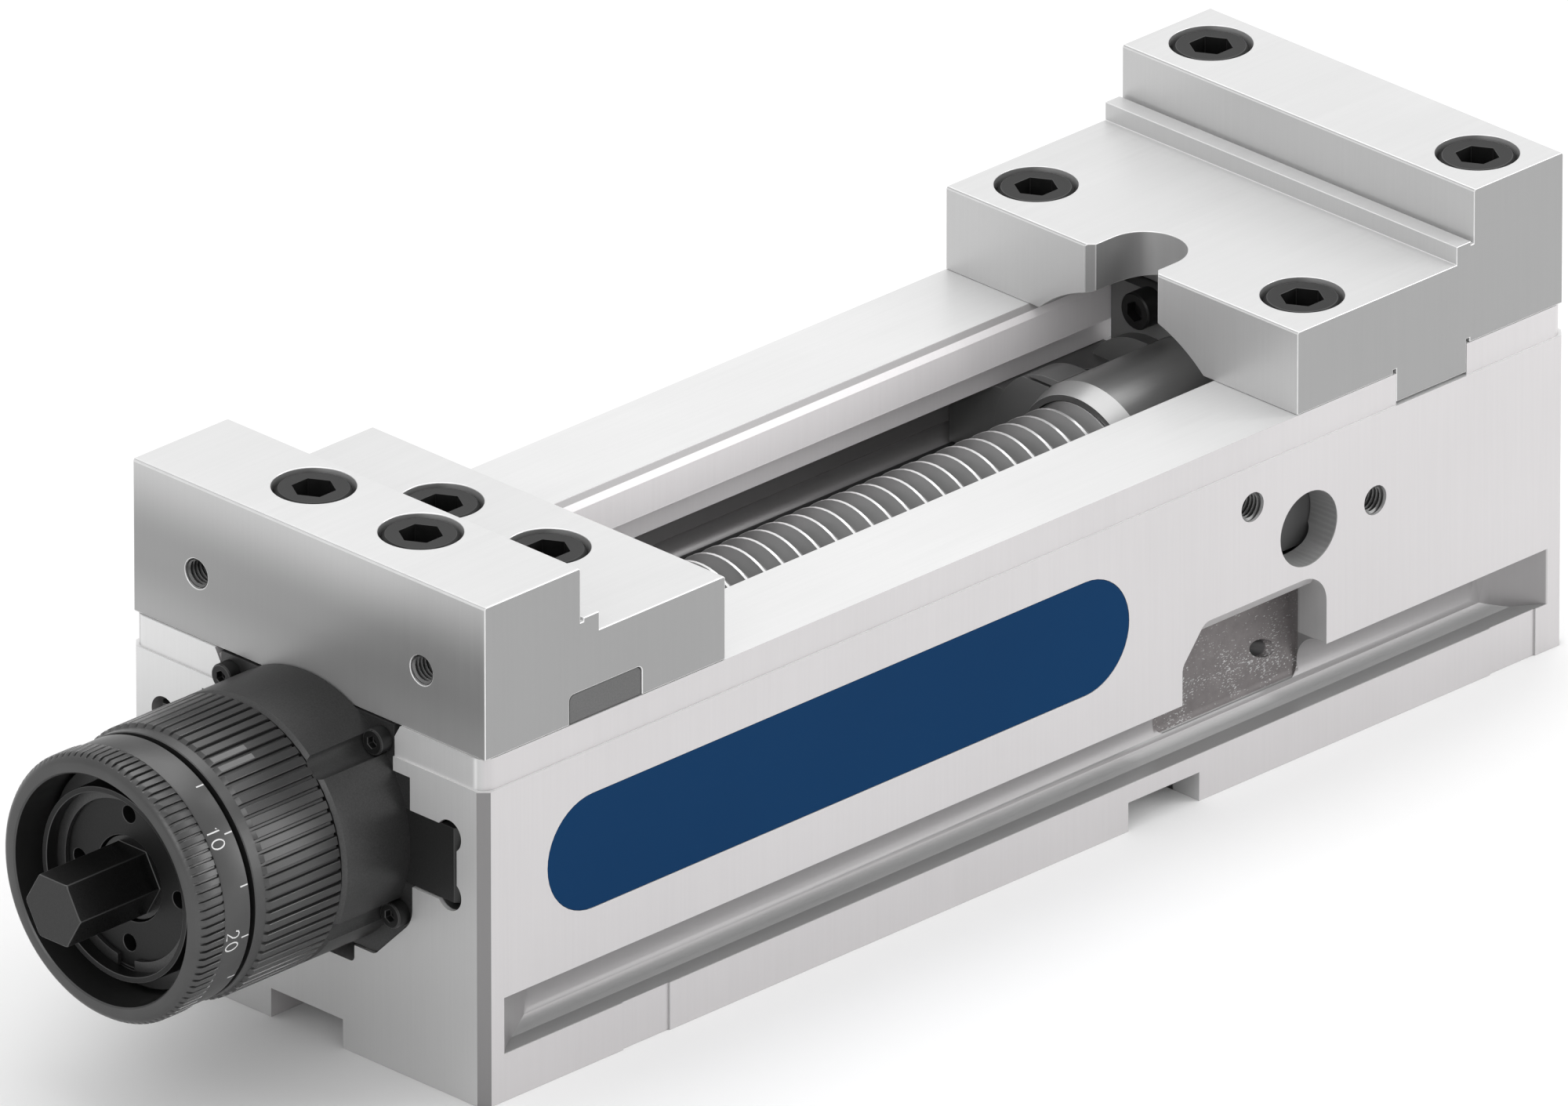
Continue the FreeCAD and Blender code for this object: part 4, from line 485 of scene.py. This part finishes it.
def finish_mesh(name, mesh, material, body, sharp=30):
    """Turns a bmesh in millimetres into a piece that rides on a body; its faces across the screw stay flat."""
    bmesh.ops.recalc_face_normals(mesh, faces=mesh.faces)
    bmesh.ops.scale(mesh, vec=(MM, MM, MM), verts=mesh.verts)
    mesh.normal_update()
    for face in mesh.faces:
        face.smooth = abs(face.normal.x) < 0.999
    data = bpy.data.meshes.new(name)
    mesh.to_mesh(data)
    mesh.free()
    data.set_sharp_from_angle(angle=math.radians(sharp))
    data.materials.append(material)
    piece = bpy.data.objects.new(name, data)
    bpy.context.scene.collection.objects.link(piece)
    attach(piece, body)
    return piece


def round_axis(along, radius, angle):
    """A point round the screw's axis; the angle is in degrees up from the right side."""
    turn = math.radians(angle)
    return Vector((along, -radius * math.cos(turn), AXIS + radius * math.sin(turn)))


def lathe(rows, flutes=0, depth=0, shape=((0, 0),), columns=96):
    """A closed turned skin from rows (along, radius, share of the flutes' depth there).
    shape lists a flute's points, (share of the pitch, share of the depth)."""
    places = [(360 * step / columns, 0) for step in range(columns)]
    if flutes:
        places = [(360 * (number + share) / flutes, sink) for number in range(flutes) for share, sink in shape]
    mesh = bmesh.new()
    wear_and_highlight = mesh.verts.layers.float.new("wear_and_highlight")
    rings = []
    for along, radius, fluted in rows:
        ring = []
        for angle, sink in places:
            vert = mesh.verts.new(round_axis(along, radius - depth * fluted * sink, angle))
            # Points on the lands' edges by the flutes are marked for rubbed wear with a painted highlight.
            vert[wear_and_highlight] = fluted if 0 < sink < 0.5 else 0
            ring.append(vert)
        rings.append(ring)
    for number, ring in enumerate(rings):
        following = rings[(number + 1) % len(rings)]
        for step in range(len(ring)):
            after = (step + 1) % len(ring)
            mesh.faces.new((ring[step], ring[after], following[after], following[step]))
    return mesh


def build_sleeve():
    """The clamping sleeve: a boss in the housing, a fluted rim, a smooth collar and a neck for the ring."""
    low, high = span("clamping_sleeve")
    neck_front, boss_rear = low.x, high.x
    rim = high.z - AXIS
    rim_rear = span("drive_housing")[0].x - 0.6
    lip = neck_front + SLEEVE_NECK_LENGTH
    cup_seat = neck_front + CUP_DEPTH
    wall = boss_rear - SLEEVE_WALL
    rows = [
        (neck_front, CUP_BORE, 0),
        (cup_seat, CUP_BORE, 0),
        (cup_seat, SPRING_CHAMBER, 0),
        (wall, SPRING_CHAMBER, 0),
        (wall, JOURNAL_BORE, 0),
        (boss_rear, JOURNAL_BORE, 0),
        (boss_rear, SLEEVE_BOSS - 0.5, 0),
        (boss_rear - 0.5, SLEEVE_BOSS, 0),
        (rim_rear, SLEEVE_BOSS, 0),
        (rim_rear, rim - 1.6, 0),
        (rim_rear, rim - 0.7, 0.9),
        (rim_rear - 0.5, rim - 0.1, 1),
        (rim_rear - 0.8, rim, 1),
        (lip + 4.2, rim, 1),
        (lip + 3.3, rim - SLEEVE_FLUTE_DEPTH, 0),
        (lip + 0.3, rim - 1.0, 0),
        (lip, rim - 1.2, 0),
        (lip, SLEEVE_NECK, 0),
        (neck_front + 0.4, SLEEVE_NECK, 0),
        (neck_front, SLEEVE_NECK - 0.4, 0),
    ]
    mesh = lathe(rows, SLEEVE_FLUTES, SLEEVE_FLUTE_DEPTH, SHARP_FLUTE)
    sleeve = finish_mesh("fluted_sleeve", mesh, FLUTE_STEEL, "screw")
    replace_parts(sleeve, "clamping_sleeve")
    return lip, rim


def build_ring():
    """The force ring: a finely fluted rim with a rounded front and a smooth band behind it."""
    low, high = span("preset_ring")
    front, rear = low.x, high.x
    rim = high.z - AXIS
    band = rim - 0.5
    knurl_rear = front + RING_KNURL_LENGTH
    rows = [
        (front, RING_BORE + 0.4, 0),
        (front + 0.4, RING_BORE, 0),
        (rear, RING_BORE, 0),
        (rear, band - 0.4, 0),
        (rear - 0.4, band, 0),
        (knurl_rear + 0.5, band, 0),
        (knurl_rear, band - 0.2, 0),
        (knurl_rear, rim - 0.7, 0.4),
        (knurl_rear - 0.5, rim - 0.15, 1),
        (knurl_rear - 0.9, rim, 1),
        (front + 2.6, rim, 1),
        (front + 2.0, rim - 0.25, 0.8),
        (front + 1.2, rim - 0.8, 0.25),
        (front + 0.9, rim - 1.0, 0),
        (front + 0.35, rim - 1.6, 0),
        (front, rim - 2.4, 0),
    ]
    mesh = lathe(rows, RING_FLUTES, RING_FLUTE_DEPTH, SHARP_FLUTE)
    ring = finish_mesh("fluted_ring", mesh, FLUTE_STEEL, "force_ring")
    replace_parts(ring, "preset_ring")
    return rear, band


# Strokes of the scale's digits: (across, up) as shares of a digit's width and height
STROKES = {
    "0": [[(math.cos(turn * math.pi / 8) / 2, math.sin(turn * math.pi / 8) / 2 + 0.5) for turn in range(17)]],
    "1": [[(-0.25, 0.78), (0.1, 1.0), (0.1, 0.0)]],
    "2": [[(-0.42, 0.72), (-0.3, 0.93), (0.0, 1.0), (0.32, 0.92), (0.42, 0.72), (0.3, 0.48), (-0.42, 0.0),
           (0.45, 0.0)]],
    "3": [[(-0.4, 0.9), (0.0, 1.0), (0.36, 0.86), (0.34, 0.62), (0.0, 0.52), (0.38, 0.42), (0.42, 0.16),
           (0.0, 0.0), (-0.42, 0.1)]],
    "4": [[(0.22, 0.0), (0.22, 1.0), (-0.45, 0.3), (0.45, 0.3)]],
}


def ribbon(mesh, points, width, radius):
    """A thin painted stroke on a cylinder; points are (along, millimetres round, from angle zero)."""
    sides = []
    for number, point in enumerate(points):
        before, after = points[max(number - 1, 0)], points[min(number + 1, len(points) - 1)]
        way = Vector((after[0] - before[0], after[1] - before[1])).normalized()
        across = Vector((-way.y, way.x)) * width / 2
        pair = []
        for sign in (1, -1):
            along, arc = point[0] + across.x * sign, point[1] + across.y * sign
            pair.append(mesh.verts.new(round_axis(along, radius, math.degrees(arc / radius))))
        sides.append(pair)
    for (left, right), (next_left, next_right) in zip(sides, sides[1:]):
        mesh.faces.new((left, right, next_right, next_left))


def build_scale(rear, band):
    """The force scale: a tick for every step of five, and a number for every ten."""
    mesh = bmesh.new()
    radius = band + 0.03
    line = 0.38
    tall, wide, spacing = 4.2, 2.3, 3.4
    tick_rear, tick_front, digit_foot = rear - 0.5, rear - 3.0, rear - 8.2
    for force in range(5, 45, 5):
        arc = math.radians(SCALE_TEN - (force - 10) / 5 * SCALE_STEP) * radius
        ribbon(mesh, [(tick_rear, arc), (tick_front, arc)], line, radius)
        if force % 10:
            continue
        for number, digit in enumerate(str(force)):
            middle = arc + (0.5 - number) * spacing
            for stroke in STROKES[digit]:
                points = [(digit_foot + up * tall, middle - across * wide) for across, up in stroke]
                ribbon(mesh, points, line, radius)
    finish_mesh("force_scale", mesh, SCALE_PAINT, "force_ring")


def build_index(lip, rim):
    """The index on the sleeve: two lands of the rim picked out with paint."""
    mesh = bmesh.new()
    pitch = 360 / SLEEVE_FLUTES
    for land in (12, 13):
        arc = math.radians(land * pitch) * rim
        ribbon(mesh, [(lip + start, arc) for start in (4.4, 8, 12, 16)], 1.6, rim + 0.02)
    finish_mesh("sleeve_index", mesh, INDEX_PAINT, "screw")


def thread(front, rear, crest, root, pitch, columns, lands, inside=False):
    """A helical skin round the X axis from front to rear, its ends cut flat, and closed unless it lines a hole.
    lands gives the crest's start and end as shares of the pitch; the flanks are alike."""
    start, end = lands
    soft, near = 0.012, crest - (crest - root) * 0.05
    # The third value of each point marks rubbed wear with a painted highlight: full on the crest, none in the
    # root.
    slope = [(0, root, 0), (start - soft, near, 0.2), (start, crest, 1), (end, crest, 1),
             (end + soft, near, 0.2), (end + start, root, 0)]
    turns = math.ceil((rear - front) / pitch) + 2
    mesh = bmesh.new()
    wear_and_highlight = mesh.verts.layers.float.new("wear_and_highlight")
    rings = []
    for step in range(turns * columns + 1):
        turn = -2 * math.pi * step / columns
        ring = []
        for share, radius, rubbed in slope:
            along = front - pitch + pitch * (step / columns + share)
            vert = mesh.verts.new((along, radius * math.cos(turn), radius * math.sin(turn)))
            vert[wear_and_highlight] = rubbed
            ring.append(vert)
        rings.append(ring)
    for ring, following in zip(rings, rings[1:]):
        for point in range(len(slope) - 1):
            mesh.faces.new((ring[point], ring[point + 1], following[point + 1], following[point]))
    for step in range(len(rings) - columns - 1):
        mesh.faces.new((rings[step][-1], rings[step + columns][0], rings[step + columns + 1][0],
                        rings[step + 1][-1]))
    bmesh.ops.remove_doubles(mesh, verts=mesh.verts, dist=1e-5)
    for place, way in ((front, -1), (rear, 1)):
        everything = mesh.verts[:] + mesh.edges[:] + mesh.faces[:]
        bmesh.ops.bisect_plane(mesh, geom=everything, plane_co=(place, 0, 0), plane_no=(way, 0, 0),
                               clear_outer=True)
        if not inside:
            rim = [edge for edge in mesh.edges if edge.is_boundary
                   and all(abs(vert.co.x - place) < 1e-4 for vert in edge.verts)]
            bmesh.ops.contextual_create(mesh, geom=rim)
    return mesh


def put(mesh, place, way):
    """Turns a mesh from the X axis to another way, then moves it to its place."""
    turn_to = Vector((1, 0, 0)).rotation_difference(Vector(way)).to_matrix().to_4x4()
    bmesh.ops.transform(mesh, matrix=turn_to, verts=mesh.verts)
    bmesh.ops.translate(mesh, vec=place, verts=mesh.verts)
    return mesh


def build_spindle():
    """The screw with its trapezoidal thread, and its journal in the drive unit."""
    low, high = span("spindle")
    crest = high.z - AXIS
    thread_front = span("bearing_seat")[0].x + 0.5
    shoulder = thread_front - 6.2
    mesh = thread(thread_front, high.x, crest, crest - THREAD_DEPTH, THREAD_PITCH, columns=48,
                  lands=(0.305, 0.43))
    mesh = put(mesh, (0, 0, AXIS), (1, 0, 0))
    screw = finish_mesh("threaded_spindle", mesh, SCREW_STEEL, "screw", sharp=25)
    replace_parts(screw, "spindle")
    core = lathe([
        (low.x, SCREW_BORE, 0),
        (low.x + SCREW_BORE_DEPTH, SCREW_BORE, 0),
        (shoulder, SCREW_BORE, 0),
        (shoulder, crest, 0),
        (shoulder, JOURNAL, 0),
        (low.x + 0.6, JOURNAL, 0),
        (low.x, JOURNAL - 0.6, 0),
    ])
    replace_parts(finish_mesh("spindle_journal", core, SCREW_STEEL, "screw"), "spindle")


def build_tapped_threads():
    """The threads in the tapped holes of the near jaw and both sides of the body."""
    jaw = span("movable_jaw")[0]
    block_low, block_high = span("body_block")
    holes = []
    for name, sign in (("right", -1), ("left", 1)):
        mouth = (jaw.x, sign * FACE_HALF, jaw.z + FACE_UP)
        holes.append((f"jaw_thread_{name}", "slide", "jaw_steel", mouth, (1, 0, 0), FACE_DEPTH))
        face = block_low.y if sign < 0 else block_high.y
        lean = math.radians(STOP_LEAN)
        for number, (along, up) in enumerate(((1, 0), (-math.cos(lean), math.sin(lean)))):
            mouth = (STOP_ALONG + along * STOP_REACH, face, STOP_UP + up * STOP_REACH)
            holes.append((f"stop_thread_{name}_{number}", "base", "body_steel", mouth, (0, -sign, 0),
                          STOP_DEPTH))
    for name, body, slot, mouth, inwards, depth in holes:
        mesh = thread(TAPPED_START, depth, TAPPED_CREST, TAPPED_ROOT, TAPPED_PITCH, columns=28,
                      lands=(0.3, 0.5), inside=True)
        finish_mesh(name, put(mesh, mouth, inwards), TAPPED_STEEL, body)


dress(["body_block"], BODY_STEEL, BODY_EDGE, 0.25)
dress(["fixed_jaw", "movable_jaw"], JAW_STEEL, STEEL_EDGE, 0.3)
dress(["spindle_nut"], NUT_STEEL, STEEL_EDGE, 0.25, crease=16)
dress(["nut_carrier"], CARRIER_STEEL, STEEL_EDGE, 0.25)
dress(["slide_block", "guide_wing_left", "guide_wing_right"], DARK_STEEL, DARK_EDGE, 0.3)
dress(["jaw_key"], KEY_STEEL, DARK_EDGE, 0.3)
dress(["drive_housing"], UNIT_STEEL, DARK_EDGE, 0.3)
dress(["hex_shaft"], HEX_STEEL, DARK_EDGE, 0.25)
dress(["cover_disc", "inner_cup"], CUP_STEEL, DARK_EDGE, 0.2)
dress(["fixed_jaw_screws", "movable_jaw_screws", "flange_screws", "nut_carrier_screws"], OXIDE, OXIDE_EDGE, 0.2)
dress(["disc_circlip", "ring_snap"], UNIT_STEEL, DARK_EDGE, 0.1)
dress(["wing_pins", "nut_pins", "bearing_seat", "thrust_bearing", "detent_pin", "pull_nut", "disc_springs",
       "pressure_plunger"], NUT_STEEL, STEEL_EDGE, 0.15)
dress(["housing_seal"], RUBBER, RUBBER, 0.05)
dress(["side_label"], LABEL, LABEL, 0.15)
build_spindle()
build_index(*build_sleeve())
build_scale(*build_ring())
build_tapped_threads()


def set_camera():
    """A long lens at the photograph's angle, which stands in for its parallel view."""
    away = PHOTO_WIDTH * MM * LENS / SENSOR
    back = Vector((math.sin(PHOTO_AZIMUTH) * math.cos(PHOTO_ELEVATION),
                   -math.cos(PHOTO_AZIMUTH) * math.cos(PHOTO_ELEVATION), math.sin(PHOTO_ELEVATION)))
    lens = bpy.data.cameras.new("photo_camera")
    lens.lens = LENS
    lens.sensor_width = SENSOR
    lens.clip_end = FAR
    camera = bpy.data.objects.new("photo_camera", lens)
    camera.location = AIM + back * away
    camera.rotation_euler = (-back).to_track_quat("-Z", "Y").to_euler()
    bpy.context.scene.collection.objects.link(camera)
    bpy.context.scene.camera = camera


def set_floor():
    """A wide pale floor just below the vise."""
    mesh = bmesh.new()
    bmesh.ops.create_grid(mesh, x_segments=1, y_segments=1, size=FAR / 2)
    data = bpy.data.meshes.new("floor")
    mesh.to_mesh(data)
    mesh.free()
    data.materials.append(plain_floor())
    floor = bpy.data.objects.new("floor", data)
    floor.location.z = -0.05 * MM
    bpy.context.scene.collection.objects.link(floor)


def add_softbox(name, place, size, power, aim=(0, 0, 0.06)):
    """An area light, wide and high, that faces the vise and isn't seen itself."""
    light = bpy.data.lights.new(name, "AREA")
    light.shape = "RECTANGLE"
    light.size, light.size_y = size
    light.energy = power
    lamp = bpy.data.objects.new(name, light)
    lamp.location = place
    lamp.rotation_euler = (Vector(aim) - Vector(place)).to_track_quat("-Z", "Y").to_euler()
    lamp.visible_camera = False
    bpy.context.scene.collection.objects.link(lamp)


def set_light():
    """Plain soft studio light: a bright room, three softboxes and a strip that lines the round parts."""
    world = bpy.data.worlds.new("studio")
    world.use_nodes = True
    room = world.node_tree.nodes["Background"]
    room.inputs["Color"].default_value = (1, 1, 1, 1)
    room.inputs["Strength"].default_value = 0.85
    bpy.context.scene.world = world
    add_softbox("overhead", (0.3, 0.4, 1.8), (1.6, 1.6), 14)
    add_softbox("right", (1.2, -1.2, 0.5), (1.0, 1.0), 8)
    add_softbox("front", (-1.5, -0.6, 0.9), (0.8, 0.8), 4)
    add_softbox("strip", (1.2, -0.8, 1.2), (0.12, 1.2), 3.5, aim=(-0.23, 0, 0.07))
    bpy.context.scene.view_settings.view_transform = "Standard"


set_camera()
set_floor()
set_light()
bpy.context.view_layer.update()
